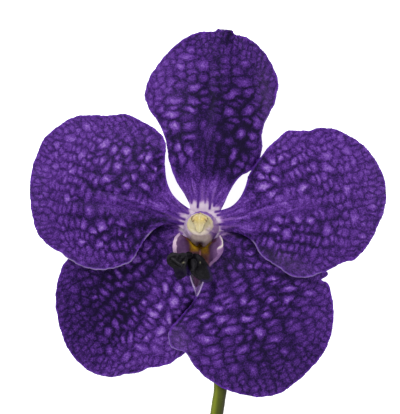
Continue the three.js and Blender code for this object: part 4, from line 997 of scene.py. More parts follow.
def sheet(top_fn, nu, nv, thick_fn, out=0.12):
    """A closed sheet: a fine upper face, a rounded edge and a lower face with half the rows.
    top_fn(u, v) gives the middle surface and its unit normal, thick_fn its thickness."""
    assert nu % 2 == 0 and nv % 2 == 0
    v, u = np.meshgrid(np.linspace(0, 1, nv + 1), np.linspace(0, 1, nu + 1), indexing="ij")
    P, N = top_fn(u.ravel(), v.ravel())
    th = thick_fn(u.ravel(), v.ravel(), P)[:, None] * 0.5
    top = P + N * th
    mu, mv = nu // 2, nv // 2
    pick = (np.arange(mv + 1)[:, None] * 2 * (nu + 1) + np.arange(mu + 1)[None, :] * 2).ravel()
    bot = (P - N * th)[pick]
    # the middle of the edge, a little outside
    loop = rim_loop(nu, nv)
    li = loop[:, 1] * (nu + 1) + loop[:, 0]
    cen = P[li]
    fwd = np.roll(cen, -1, 0) - np.roll(cen, 1, 0)
    outw = np.cross(fwd, N[li])
    outw /= np.maximum(np.linalg.norm(outw, axis=1, keepdims=True), 1e-9)
    rim = cen + outw * out
    nt, nb = len(top), len(bot)
    verts = np.concatenate([top, bot, rim])
    faces = [grid_faces(nu, nv), grid_faces(mu, mv, nt, flip=True)]
    n = len(loop)
    k = np.arange(n)
    r = nt + nb + k
    r1 = nt + nb + (k + 1) % n
    t, t1 = li, li[(k + 1) % n]
    faces.append(np.stack([t, r, r1, t1], 1))
    ll = rim_loop(mu, mv)
    bi = nt + ll[:, 1] * (mu + 1) + ll[:, 0]
    m = len(ll)
    j = np.arange(m)
    b, b1 = bi, bi[(j + 1) % m]
    r0, rm, r2 = nt + nb + 2 * j, nt + nb + (2 * j + 1) % n, nt + nb + (2 * j + 2) % n
    tri = np.concatenate([np.stack([r0, b, rm], 1), np.stack([rm, b, b1], 1), np.stack([rm, b1, r2], 1)])
    faces = [f for part in faces for f in part.tolist()] + tri.tolist()
    src = np.concatenate([np.arange(nt), pick, li])       # the top place behind each vertex
    back = np.concatenate([np.zeros(nt), np.ones(nb), np.full(n, 0.45)])
    return verts, faces, src, back, u.ravel(), v.ravel(), P


def outline(spec, n, seed, rough=0.18, trim=()):
    L, R = spline(spec["L"], n), spline(spec["R"], n)
    v = np.linspace(0, 1, n)
    for k, E in enumerate((L, R)):
        d = np.gradient(E, axis=0)
        d /= np.linalg.norm(d, axis=1, keepdims=True)
        nrm = np.stack([-d[:, 1], d[:, 0]], 1)
        run = np.concatenate([[0], np.cumsum(np.linalg.norm(np.diff(E, axis=0), axis=1))])
        w = noise(run / 1.9, np.full(n, 3.7 + 9 * k), seed) * rough + noise(run / 0.7, np.full(n, 8.1 + 5 * k), seed + 1) * rough * 0.45
        w = w + noise(run / 0.34, np.full(n, 5.1 + 3 * k), seed + 2) * rough * 0.35
        E += nrm * (w * smooth(0.12, 0.3, v))[:, None]
        for side, y0, y1, move in trim:
            if side == k:
                E[:, 0] += move * smooth(y0 - 1.5, y0 + 1.5, E[:, 1]) * (1 - smooth(y1 - 1.5, y1 + 2.5, E[:, 1]))
    return L, R


def star_marks(x, y, seed):
    """The white star about the column, cut into by purple marks with round ends, and its rays."""
    r, a = np.hypot(x - 0.1, y - 0.1), np.degrees(np.arctan2(y - 0.1, x - 0.1))
    at = [-180, -165, -150, -140, -90, -40, -25, -10, 5, 20, 35, 45, 60, 75, 90, 108, 117, 124, 132, 142, 150, 160, 170, 180]
    far = [5.5, 5.8, 5.9, 5.2, 4.8, 5.4, 5.9, 5.5, 5.9, 5.6, 6.1, 6.7, 6.8, 6.4, 6.2, 6.9, 6.6, 5.0, 4.6, 5.0, 5.7, 6.0, 5.7, 5.5]
    reach = np.interp(a, at, far)
    bite = noise(a / 13.0, r / 12.0, seed + 5) + 0.3 * noise(a / 5.5, r / 8.0, seed + 6)
    reach = reach - 0.1 + 0.7 * np.tanh(1.1 * bite) * (1 - 0.35 * smooth(60, 75, a) * (1 - smooth(112, 124, a)))
    star = 1 - smooth(-1.0, 1.0, r - reach)
    ray = smooth(-0.1, 0.75, noise(a / 7.0, r / 9.0, seed + 7) + 0.35 * bite)
    ray = ray * (1 - smooth(0.0, 5.5, r - reach))
    return dict(star=star, ray=ray)


def selvage(spec, fan, x, y):
    """The pale inner margins of the two lateral sepals, where they part over the spur."""
    if "selvage" not in fan:
        return np.zeros(len(x))
    side, y0, y1, width = fan["selvage"]
    line = spline(spec[side], 400)
    line = line[(line[:, 1] < y0) & (line[:, 1] > y1)]
    d, w = near(x, y, line[::4])
    return np.exp(-((d / width) ** 4)) * smooth(y0 + 0.1, y0 - 1.0, y) * smooth(y1 - 0.3, y1 + 0.8, y)


def blade(name, spec, fan, nu, nv, edge_wave=None):
    seed = fan["seed"]
    L, R = outline(spec, nv + 1, seed + 50, trim=fan.get("trim", ()))
    zf = height(spec)
    edge = np.concatenate([L, R[::-1]])
    net = Net(spec, fan, seed)

    def raw(u, v):
        j = np.clip(np.round(v * nv).astype(int), 0, nv)
        return L[j] * (1 - u)[:, None] + R[j] * u[:, None]

    v0, u0 = np.meshgrid(np.linspace(0, 1, nv + 1), np.linspace(0, 1, nu + 1), indexing="ij")
    xy = raw(u0.ravel(), v0.ravel())
    x, y = xy[:, 0], xy[:, 1]
    # distance to the margin, from a coarse search
    ring = np.concatenate([L[::3], R[::3], np.linspace(L[-1], R[-1], 12)])
    ring = ring[np.hypot(ring[:, 0], ring[:, 1]) > 3.0]
    dist = np.full(len(x), 99.0)
    for a in range(0, len(ring), 24):
        part = ring[a:a + 24]
        dist = np.minimum(dist, np.sqrt(((xy[:, None, :] - part[None]) ** 2).sum(-1)).min(1))
    # and exactly, close to the margin
    by = dist < 1.8
    j0 = int(0.1 * nv)
    dL, _ = near(x[by], y[by], L[j0:])
    dR, _ = near(x[by], y[by], R[j0:])
    dist[by] = np.minimum(dL, dR)
    tones = net_tones(net, spec, x, y, seed)
    z = zf(x, y)
    # the margin ripples a little
    rip = noise(x / 4.2, y / 4.2, seed + 70) * 0.55 + noise(x / 2.0, y / 2.0, seed + 71) * 0.18
    z = z + rip * np.exp(-dist / 3.2) * smooth(8, 16, np.hypot(x, y))
    # cells stand a little proud of the veins
    relief = (0.09 * tones["blob"] - 0.07 * tones["line"]) * (1 - 0.85 * tones["calm"])
    relief = relief * smooth(5, 10, np.hypot(x, y)) * smooth(0.1, 0.9, dist)
    Z = z.reshape(nv + 1, nu + 1)
    XY = xy.reshape(nv + 1, nu + 1, 2)
    G = np.dstack([XY, Z])
    du, dv = np.gradient(G, axis=1), np.gradient(G, axis=0)
    N = np.cross(du, dv)
    N /= np.maximum(np.linalg.norm(N, axis=2, keepdims=True), 1e-9)
    P = G.reshape(-1, 3)
    N = N.reshape(-1, 3)
    t0, t1 = spec["t"]
    th = t1 + (t0 - t1) * smooth(0.2, 5.0, dist)

    verts, faces, src, back, U, V, mid = sheet(lambda u, v: (P, N), nu, nv, lambda u, v, p: th)
    nt = len(P)
    verts[:nt] += N * relief[:, None]
    verts[nt:nt + ((nu // 2 + 1) * (nv // 2 + 1))] += N[src[nt:nt + ((nu // 2 + 1) * (nv // 2 + 1))]] * 0.4 * relief[src[nt:nt + ((nu // 2 + 1) * (nv // 2 + 1))]][:, None]
    r = np.hypot(x, y)
    s = x * np.cos(net.axis) + y * np.sin(net.axis)
    t = -x * np.sin(net.axis) + y * np.cos(net.axis)
    attrs = dict(blob=tones["blob"], pale=tones["pale"], line=tones["line"], rimward=tones["rimward"], tone_and_shade=tones["tone_and_shade"],
                 calm=tones["calm"], grey_sheen=tones["grey_sheen"], edge=np.minimum(dist, 8.0), rad=r, psi=tones["psi"], run=tones["q"])
    attrs.update(star_marks(x, y, seed))
    attrs.update(line_marks(fan, x, y, dist))
    attrs["star"] = np.maximum(attrs["star"], attrs.pop("white")) * (1 - np.clip(1.1 * attrs["streak"], 0, 1))
    attrs["selvage"] = selvage(spec, fan, x, y)
    attrs = {k: a[src] for k, a in attrs.items()}
    attrs["back"] = back
    ob = new_mesh(name, verts, faces, attrs, uv=np.stack([U, V], 1)[src])
    return ob


# ---------------------------------------------------------------- node helpers
class Nodes:
    def __init__(self, name):
        self.mat = bpy.data.materials.new(name)
        self.mat.use_nodes = True
        self.t = self.mat.node_tree
        self.t.nodes.clear()
        self.out = self.t.nodes.new("ShaderNodeOutputMaterial")
        self.bsdf = self.t.nodes.new("ShaderNodeBsdfPrincipled")
        self.t.links.new(self.bsdf.outputs[0], self.out.inputs[0])

    def put(self, sock, val):
        if isinstance(val, bpy.types.NodeSocket):
            self.t.links.new(val, sock)
        elif isinstance(val, (tuple, list)) and len(val) == 3 and sock.type == "RGBA":
            sock.default_value = (*val, 1.0)
        else:
            sock.default_value = val

    def attr(self, name, out="Fac"):
        n = self.t.nodes.new("ShaderNodeAttribute")
        n.attribute_name = name
        return n.outputs[out]

    def math(self, op, a, b=None, c=None, clamp=False):
        n = self.t.nodes.new("ShaderNodeMath")
        n.operation = op
        n.use_clamp = clamp
        for k, v in enumerate((a, b, c)):
            if v is not None:
                self.put(n.inputs[k], v)
        return n.outputs[0]

    def step(self, x, lo, hi, a=0.0, b=1.0):
        n = self.t.nodes.new("ShaderNodeMapRange")
        n.interpolation_type = "SMOOTHSTEP"
        for k, v in zip(range(5), (x, lo, hi, a, b)):
            self.put(n.inputs[k], v)
        return n.outputs[0]

    def mix(self, fac, a, b, mode="MIX"):
        n = self.t.nodes.new("ShaderNodeMix")
        n.data_type = "RGBA"
        n.blend_type = mode
        self.put(n.inputs[0], fac)
        self.put(n.inputs[6], a)
        self.put(n.inputs[7], b)
        return n.outputs[2]

    def ramp(self, fac, stops, mode="LINEAR"):
        n = self.t.nodes.new("ShaderNodeValToRGB")
        n.color_ramp.interpolation = mode
        el = n.color_ramp.elements
        while len(el) > 1:
            el.remove(el[-1])
        el[0].position, el[0].color = stops[0][0], (*stops[0][1], 1)
        for p, c in stops[1:]:
            e = el.new(p)
            e.color = (*c, 1)
        self.put(n.inputs[0], fac)
        return n.outputs[0]

    def coords(self, scale=(1, 1, 1), kind="Object"):
        n = self.t.nodes.new("ShaderNodeTexCoord")
        m = self.t.nodes.new("ShaderNodeMapping")
        m.inputs["Scale"].default_value = scale
        self.t.links.new(n.outputs[kind], m.inputs[0])
        return m.outputs[0]

    def vec(self, x, y, z=0.0):
        n = self.t.nodes.new("ShaderNodeCombineXYZ")
        for k, v in enumerate((x, y, z)):
            self.put(n.inputs[k], v)
        return n.outputs[0]

    def noise(self, vec, scale, detail=2.0, rough=0.5, out="Fac"):
        n = self.t.nodes.new("ShaderNodeTexNoise")
        self.put(n.inputs["Vector"], vec)
        n.inputs["Scale"].default_value = scale
        n.inputs["Detail"].default_value = detail
        n.inputs["Roughness"].default_value = rough
        return n.outputs[0] if out == "Fac" else n.outputs[1]

    def voronoi(self, vec, scale, feature="F1", out="Distance", rand=1.0):
        n = self.t.nodes.new("ShaderNodeTexVoronoi")
        n.feature = feature
        self.put(n.inputs["Vector"], vec)
        n.inputs["Scale"].default_value = scale
        n.inputs["Randomness"].default_value = rand
        return n.outputs[out]

    def bump(self, h, strength=0.3, dist=0.0001, normal=None):
        n = self.t.nodes.new("ShaderNodeBump")
        n.inputs["Strength"].default_value = strength
        n.inputs["Distance"].default_value = dist
        self.put(n.inputs["Height"], h)
        if normal is not None:
            self.put(n.inputs["Normal"], normal)
        return n.outputs[0]


def lin(r, g, b):
    """The surface colour that looks like this screen colour, 0..255, under the studio light."""
    out = []
    for c in (r, g, b):
        c /= 255.0
        out.append((c / 12.92 if c <= 0.04045 else ((c + 0.055) / 1.055) ** 2.4) / LIGHT)
    return tuple(out)
# ---------------------------------------------------------------- round forms and plates
def cr(points, t):
    """Catmull-Rom through points (k, ...) at t in 0..1, even in the points' number."""
    p = np.asarray(points, float)
    last = len(p) - 1
    x = np.clip(np.asarray(t, float), 0, 1) * last
    i = np.minimum(x.astype(int), last - 1)
    w = x - i
    w = w.reshape(w.shape + (1,) * (p.ndim - 1))
    p0 = np.where((i > 0).reshape(w.shape), p[np.maximum(i - 1, 0)], 2 * p[i] - p[i + 1])
    p1, p2 = p[i], p[i + 1]
    p3 = np.where((i + 2 <= last).reshape(w.shape), p[np.minimum(i + 2, last)], 2 * p2 - p1)
    v0, v1 = (p2 - p0) * 0.5, (p3 - p1) * 0.5
    return (2 * p1 - 2 * p2 + v0 + v1) * w**3 + (-3 * p1 + 3 * p2 - 2 * v0 - v1) * w**2 + v0 * w + p1


def plate(rows, nu, nv, thick, out=0.08, relief=None, taper=True):
    """A closed plate through rows of points. Returns what new_mesh needs."""
    net = np.array(rows, float)
    u1, v1 = np.linspace(0, 1, nu + 1), np.linspace(0, 1, nv + 1)
    across = cr(np.transpose(net, (1, 0, 2)), u1)           # (nu+1, rows, 3)
    G = cr(np.transpose(across, (1, 0, 2)), v1)             # (nv+1, nu+1, 3)
    if relief is not None:
        du, dv = np.gradient(G, axis=1), np.gradient(G, axis=0)
        N = np.cross(du, dv)
        N /= np.maximum(np.linalg.norm(N, axis=2, keepdims=True), 1e-9)
        vv, uu = np.meshgrid(v1, u1, indexing="ij")
        G = G + N * relief(uu, vv, G)[..., None]
    du, dv = np.gradient(G, axis=1), np.gradient(G, axis=0)
    N = np.cross(du, dv)
    N /= np.maximum(np.linalg.norm(N, axis=2, keepdims=True), 1e-9)
    P, N = G.reshape(-1, 3), N.reshape(-1, 3)

    def thickness(u, v, p):
        if not taper:
            return np.full(len(u), thick)
        e = np.minimum(np.minimum(u, 1 - u) * 4, np.minimum(v, 1 - v) * 4)
        return thick * (0.62 + 0.38 * smooth(0, 0.6, e))

    verts, faces, src, back, U, V, mid = sheet(lambda u, v: (P, N), nu, nv, thickness, out)
    return verts, faces, dict(u=U[src], v=V[src], back=back)


def loft(rings, sides=48, steps=60, upright=False, shape=None, caps=("flat", "flat"), cap_rings=7):
    """A round form through rings of centre x, y, z and two half widths."""
    R = np.array(rings, float)
    t = np.linspace(0, 1, steps + 1)
    dense = cr(R[:, :3], np.linspace(0, 1, 400))
    run = np.concatenate([[0], np.cumsum(np.linalg.norm(np.diff(dense, axis=0), axis=1))])
    tt = np.interp(np.linspace(0, run[-1], steps + 1), run, np.linspace(0, 1, 400))
    C, S = cr(R[:, :3], tt), cr(R[:, 3:5], tt)
    T = np.gradient(C, axis=0)
    T /= np.linalg.norm(T, axis=1, keepdims=True)
    X = np.array([1.0, 0, 0])
    N = X - T * (T @ X)[:, None]
    N /= np.linalg.norm(N, axis=1, keepdims=True)
    B = np.cross(T, N)
    if upright:
        N = np.tile(X, (len(t), 1))
        B = np.tile([0, 1.0, 0], (len(t), 1))
    ang = np.arange(sides) / sides * 2 * np.pi
    rings_v, ring_t, ring_r = [], [], []

    def ring(c, n, b, sx, sy, tv, rr):
        w = shape(ang, tv, rr) if shape else np.ones(sides)
        rings_v.append(c + np.outer(np.cos(ang) * sx * w, n) + np.outer(np.sin(ang) * sy * w, b))
        ring_t.append(np.full(sides, tv))
        ring_r.append(np.full(sides, rr))

    def cap(k, end):
        c, n, b, s = C[k], N[k], B[k], S[k]
        d = (T[k] if not upright else np.array([0, 0, 1.0 if end else -1.0])) * (1 if (end or upright) else -1)
        if caps[end] == "flat":
            seq = [(1.0, 0.0), (0.97, 0.02), (0.75, 0.02), (0.4, 0.02), (0.1, 0.02)]
            depth = 1.0
        else:
            a = np.linspace(0, np.pi / 2, cap_rings + 1)[:-1]
            seq = [(np.cos(x), np.sin(x)) for x in a]
            depth = float(caps[end]) if not isinstance(caps[end], str) else min(s)
        return c, n, b, s, d, seq[1:], depth

    c, n, b, s, d, seq, depth = cap(0, 0)
    for f, h in reversed(seq):
        ring(c + d * h * depth, n, b, s[0] * f, s[1] * f, 0.0, f)
    tip0 = c + d * seq[-1][1] * depth * 1.0
    for k in range(steps + 1):
        ring(C[k], N[k], B[k], S[k][0], S[k][1], tt[k], 1.0)
    c, n, b, s, d, seq, depth = cap(steps, 1)
    for f, h in seq:
        ring(c + d * h * depth, n, b, s[0] * f, s[1] * f, 1.0, f)
    tip1 = c + d * seq[-1][1] * depth * 1.0
    V = np.concatenate(rings_v)
    m = len(rings_v)
    faces = []
    for k in range(m - 1):
        a0 = k * sides
        for j in range(sides):
            j1 = (j + 1) % sides
            faces.append([a0 + j, a0 + j1, a0 + sides + j1, a0 + sides + j])
    V = np.concatenate([V, [tip0, tip1]])
    i0, i1 = len(V) - 2, len(V) - 1
    for j in range(sides):
        j1 = (j + 1) % sides
        faces.append([i0, j1, j])
        faces.append([i1, (m - 1) * sides + j, (m - 1) * sides + j1])
    tv = np.concatenate(ring_t + [[0.0, 1.0]])
    rr = np.concatenate(ring_r + [[0.0, 0.0]])
    aa = np.concatenate([np.tile(ang, m), [0, 0]])
    # faces must look outwards
    vol = 0.0
    F = np.array([f[:3] for f in faces])
    vol = np.einsum("ij,ij->", V[F[:, 0]], np.cross(V[F[:, 1]], V[F[:, 2]]))
    Q = np.array([[f[0], f[2], f[3]] for f in faces if len(f) == 4])
    vol += np.einsum("ij,ij->", V[Q[:, 0]], np.cross(V[Q[:, 1]], V[Q[:, 2]]))
    if vol < 0:
        faces = [f[::-1] for f in faces]
    return V, faces, dict(t=tv, r=rr, ang=aa)


# ---------------------------------------------------------------- materials
def netted_material():
    m = Nodes("netted_petal")
    A = m.attr
    blob, pale, line, rimw, tone_and_shade = A("blob"), A("pale"), A("line"), A("rimward"), A("tone_and_shade")
    edge, rad, psi, run, back = A("edge"), A("rad"), A("psi"), A("run"), A("back")
    calm, grey_sheen = A("calm"), A("grey_sheen")
    ob = m.coords()
    n1, n2 = m.noise(ob, 170, 1.0), m.noise(ob, 450, 2.0)
    n3, n4 = m.noise(ob, 1500, 1.0), m.noise(ob, 3200, 1.0)
    # marks drawn out along the veins, for the claws and the midrib
    streak = m.noise(m.vec(m.math("MULTIPLY", psi, 9.0), m.math("MULTIPLY", run, 0.16)), 1.0, 2.0)
    fine = m.noise(m.vec(m.math("MULTIPLY", psi, 30.0), m.math("MULTIPLY", run, 0.35)), 1.0, 2.0)
    keep = m.math("SUBTRACT", 1.0, calm)
    v = m.math("MULTIPLY", m.math("MULTIPLY", blob, pale), m.math("SUBTRACT", 1.0, m.math("MULTIPLY", rimw, 0.40)))
    v = m.math("MULTIPLY", m.math("MULTIPLY", v, 0.60), keep)
    v = m.math("ADD", v, m.math("MULTIPLY_ADD", rimw, 0.065, 0.385))
    dark = m.math("MULTIPLY", m.math("MULTIPLY", line, m.math("MULTIPLY_ADD", rimw, -0.11, 0.29)), keep)
    v = m.math("SUBTRACT", v, dark)
    # painted light and shade: the tone zones and the crease marks make the blade lighter and darker
    v = m.math("ADD", m.math("ADD", v, tone_and_shade), A("crease_light_and_shade"))
    for n, k in ((n1, 0.10), (n2, 0.12), (n3, 0.32), (n4, 0.76)):
        v = m.math("ADD", v, m.math("MULTIPLY_ADD", n, k, -0.5 * k))
    v = m.math("ADD", v, m.math("MULTIPLY", m.math("MULTIPLY", calm, calm), 0.17))
    v = m.math("ADD", v, m.math("MULTIPLY", m.math("MULTIPLY_ADD", streak, 1.0, -0.5), calm))
    v = m.math("ADD", v, m.math("MULTIPLY", m.math("MULTIPLY_ADD", fine, 0.4, -0.2), calm))
    col = m.ramp(v, [(0.0, lin(18, 3, 42)), (0.2, lin(36, 13, 71)), (0.42, lin(70, 33, 115)),
                     (0.62, lin(101, 55, 155)), (0.82, lin(130, 86, 183)), (1.0, lin(162, 124, 206))])
    # a painted sheen: a dull greyish reflection painted where the blade rolls away
    col = m.mix(m.math("MULTIPLY", grey_sheen, m.math("MULTIPLY_ADD", n3, 0.8, 0.2)), col, lin(96, 84, 104))
    # the white star about the column, with pale rays running out of it
    col = m.mix(m.math("MULTIPLY", A("ray"), 0.55), col, lin(158, 112, 186))
    white = m.mix(m.step(n2, 0.3, 0.7), lin(222, 198, 226), lin(240, 224, 238))
    col = m.mix(m.step(A("star"), 0.0, 0.62), col, m.mix(m.step(n2, 0.3, 0.7), lin(150, 104, 190), lin(182, 134, 210)))
    col = m.mix(m.step(A("star"), 0.3, 1.0), col, white)
    col = m.mix(m.math("MULTIPLY", A("streak"), 0.8), col, lin(78, 36, 132))
    col = m.mix(m.math("MULTIPLY", A("selvage"), 0.95), col, lin(250, 232, 250))
    # painted light: the margin is painted a brighter violet, standing in for light shining through the thin tissue; its
    # very edge is paler
    rim = m.math("MULTIPLY", m.math("SUBTRACT", 1.0, m.step(edge, 0.1, 0.55)), m.step(rad, 10, 16))
    rim = m.math("MULTIPLY", rim, m.math("MULTIPLY_ADD", A("crease_light_and_shade"), 2.2, 1.0, clamp=True))
    col = m.mix(m.math("MULTIPLY", rim, m.math("MULTIPLY_ADD", n2, 0.6, 0.2)), col, lin(108, 48, 182))
    lip = m.math("MULTIPLY", m.step(back, 0.15, 0.42), m.math("SUBTRACT", 1.0, m.step(back, 0.5, 0.9)))
    col = m.mix(m.math("MULTIPLY", lip, 0.45), col, lin(118, 62, 184))
    # painted sheen along the rolled margins
    col = m.mix(m.math("MULTIPLY", A("hem_and_sheen"), m.math("MULTIPLY_ADD", n3, 0.5, 0.6), clamp=True), col, lin(178, 162, 192))
    # the underside is paler
    under = m.step(back, 0.55, 0.95)
    pale_back = m.mix(0.45, col, lin(168, 138, 196))
    col = m.mix(under, col, pale_back)
    m.put(m.bsdf.inputs["Base Color"], col)
    rough = m.math("MULTIPLY_ADD", n3, 0.16, 0.42)
    m.put(m.bsdf.inputs["Roughness"], rough)
    m.bsdf.inputs["IOR"].default_value = 1.4
    m.bsdf.inputs["Specular IOR Level"].default_value = 0.10
    h = m.math("ADD", m.math("MULTIPLY", n4, 0.5), m.math("MULTIPLY", n3, 0.6))
    h = m.math("ADD", h, m.math("MULTIPLY", m.math("MULTIPLY", fine, 0.8), calm))
    m.put(m.bsdf.inputs["Normal"], m.bump(h, 0.35, 0.00012))
    return m.mat


def tissue(name, colour_fn, rough=0.4, **sockets):
    m = Nodes(name)
    col, h, strength = colour_fn(m)
    m.put(m.bsdf.inputs["Base Color"], col)
    m.bsdf.inputs["Roughness"].default_value = rough
    for k, v in sockets.items():
        m.bsdf.inputs[k.replace("_", " ")].default_value = v
    m.put(m.bsdf.inputs["Normal"], m.bump(h, strength, 0.0001))
    return m.mat


# ---------------------------------------------------------------- the blades
netted = netted_material()
SIZES = dict(dorsal_sepal=(170, 230), petal_left=(200, 220), petal_right=(200, 230),
             lateral_sepal_left=(200, 220), lateral_sepal_right=(200, 230))
for name, spec in BLADES.items():
    if name.startswith("lip"):
        continue
    nu, nv = SIZES[name]
    ob = blade(name + "_fine", spec, FANS[name], nu, nv)
    ob.data.materials.append(netted)
    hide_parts(name)
    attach(ob, "root")


# ---------------------------------------------------------------- column, cap, lip, stalk
def place(name, parts, material, node):
    """One object of several closed forms."""
    keys = sorted({k for _, _, a in parts for k in a})
    verts, faces, attrs, start = [], [], {k: [] for k in keys}, 0
    for v, f, a in parts:
        verts.append(v)
        faces += [[i + start for i in q] for q in f]
        for k in keys:
            attrs[k].append(a.get(k, np.zeros(len(v))))
        start += len(v)
    ob = new_mesh(name, np.concatenate(verts), faces, {k: np.concatenate(x) for k, x in attrs.items()})
    ob.data.materials.append(material)
    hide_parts(node)
    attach(ob, "root")
    return ob


def spot(x, y, cx, cy, rx, ry, turn=0.0):
    c, s = np.cos(np.radians(turn)), np.sin(np.radians(turn))
    p, q = ((x - cx) * c + (y - cy) * s) / rx, (-(x - cx) * s + (y - cy) * c) / ry
    return np.exp(-p * p - q * q)


def turned(profile, sides, steps, move=None):
    """A closed form of level rings: each is x, y of the centre, two half widths and z. The last
    ring closes the top, the first a flat underside."""
    P = cr(np.array(profile, float), np.linspace(0, 1, steps + 1))
    a = np.arange(sides) / sides * 2 * np.pi
    rows = []
    for f in (0.25, 0.5, 0.75, 0.93):
        rows.append((P[0][0], P[0][1], P[0][2] * f, P[0][3] * f, P[0][4]))
    rows += [tuple(p) for p in P]
    V = np.concatenate([np.stack([r[0] + np.cos(a) * r[2], r[1] + np.sin(a) * r[3], np.full(sides, r[4])], 1) for r in rows])
    V = np.concatenate([V, [[P[0][0], P[0][1], P[0][4]], [P[-1][0], P[-1][1], P[-1][4]]]])
    m = len(rows)
    i = np.arange(m - 1)[:, None] * sides
    j = np.arange(sides)[None, :]
    j1 = (j + 1) % sides
    F = np.stack([i + j, i + j1, i + sides + j1, i + sides + j], -1).reshape(-1, 4).tolist()
    b, t = len(V) - 2, len(V) - 1
    for k in range(sides):
        k1 = (k + 1) % sides
        F.append([b, k1, k])
        F.append([t, (m - 1) * sides + k, (m - 1) * sides + k1])
    if move is not None:
        V = move(V)
    return V, F, {}


# ------------------------------------------- column
# Level sections: height, centre, half width, reach towards the dorsal sepal, reach over the lip, and
# how round the front is (2 is round, less is keeled).
COLUMN = [(13.6, 0.32, -1.0, 4.80, 4.25, 5.05, 1.45), (14.9, 0.33, -0.95, 4.78, 4.35, 5.15, 1.45),
          (16.1, 0.33, -0.8, 4.70, 4.45, 5.10, 1.46), (17.1, 0.30, -0.6, 4.58, 4.35, 5.12, 1.48),
          (18.0, 0.26, -0.35, 4.42, 4.12, 4.85, 1.52), (18.8, 0.20, -0.2, 4.22, 3.92, 4.40, 1.62),
          (19.6, 0.1, -0.05, 3.9, 3.62, 3.55, 1.78), (20.25, 0.02, 0.05, 3.56, 3.22, 2.85, 1.94),
          (20.66, -0.02, 0.05, 3.38, 2.88, 2.68, 2.0), (20.92, -0.02, 0.05, 3.22, 2.68, 2.58, 2.0),
          (21.0, -0.02, 0.08, 3.03, 2.48, 2.40, 2.0), (20.93, -0.02, 0.15, 2.8, 2.2, 2.15, 2.0),
          (20.82, -0.02, 0.25, 2.45, 1.85, 1.8, 2.0), (20.76, 0.0, 0.35, 2.0, 1.4, 1.4, 2.0),
          (20.74, 0.04, 0.4, 1.2, 0.9, 0.9, 2.0), (20.74, 0.04, 0.4, 0.35, 0.3, 0.3, 2.0)]


def column_part(sides=132, steps=96):
    P = cr(np.array(COLUMN), np.linspace(0, 1, steps + 1))
    a = np.arange(sides) / sides * 2 * np.pi
    c, s = np.cos(a), np.sin(a)
    rows = []
    for k, (z, cx, cy, w, up, down, p) in enumerate(P):
        x = c * w
        y = s * up
        q = np.abs(s) ** (2.0 / p) * np.sign(s) * down
        xx = np.sign(c) * np.abs(c) ** (2.0 / p) * w
        low = s < 0
        rows.append(np.stack([cx + np.where(low, xx, x), cy + np.where(low, q, y), np.full(sides, z)], 1))
    # below it the receptacle, that the claws of the tepals grow from
    base = rows[0]
    mid = base.mean(0)
    foot = ((0.2, 10.25), (0.45, 10.3), (0.66, 10.6), (0.76, 11.2), (0.81, 12.0), (0.85, 12.8), (0.91, 13.3), (0.97, 13.5))
    rows = [mid + (base - mid) * f + np.array([0, 0, h - 13.6]) for f, h in foot] + rows
    mid = mid + np.array([0, 0, 10.25 - 13.6])
    V = np.concatenate(rows + [[mid], [rows[-1].mean(0)]])
    m = len(rows)
    i = np.arange(m - 1)[:, None] * sides
    j = np.arange(sides)[None, :]
    j1 = (j + 1) % sides
    F = np.stack([i + j, i + j1, i + sides + j1, i + sides + j], -1).reshape(-1, 4).tolist()
    b, t = len(V) - 2, len(V) - 1
    for k in range(sides):
        k1 = (k + 1) % sides
        F.append([b, k1, k])
        F.append([t, (m - 1) * sides + k, (m - 1) * sides + k1])
    x, y, z = V[:, 0].copy(), V[:, 1].copy(), V[:, 2].copy()
    up = np.full(len(V), 1.0)
    up[:2 * sides] = 0
    up[-2] = 0
    top = smooth(20.2, 20.7, z) * up
    # two glossy cushions below the cap with a dip between them, shallow hollows to its sides
    z += top * (0.30 * spot(x, y, -1.95, -1.2, 0.62, 0.5, -42) + 0.34 * spot(x, y, 1.1, -1.7, 0.7, 0.42, 24)
                - 0.30 * spot(x, y, -0.45, -2.0, 0.4, 0.55) - 0.22 * spot(x, y, 2.7, 1.1, 0.55, 1.2, -10)
                - 0.12 * spot(x, y, -2.8, 1.1, 0.45, 1.2, 12) - 0.10 * spot(x, y, 0.0, -2.4, 1.6, 0.3))
    # the lower lip of the disc sags forwards
    z -= top * 0.30 * smooth(-1.2, -2.6, y)
    # the cleft at the foot of the face and the two small swellings beside it
    foot = smooth(19.0, 16.6, z) * up
    y += foot * (0.95 * np.exp(-((x + 0.05) / 0.5) ** 2) * smooth(-3.8, -5.0, y) - 0.14 * spot(x, y, -1.05, -5.0, 0.6, 0.8) - 0.14 * spot(x, y, 1.0, -5.1, 0.6, 0.8))
    # faint lengthwise furrows on the flanks
    an = np.arctan2(y + 0.3, x - 0.2)
    fl = (1 - top) * smooth(13.8, 15.5, z) * up
    k = 1 + fl * 0.012 * np.sin(an * 17 + 1.5 * np.sin(z * 0.7)) + fl * 0.01 * noise(an * 4, z / 1.5, 77)
    x, y = 0.2 + (x - 0.2) * k, (y + 0.3) * k - 0.3
    return np.stack([x, y, z], 1), F, dict(up=up)


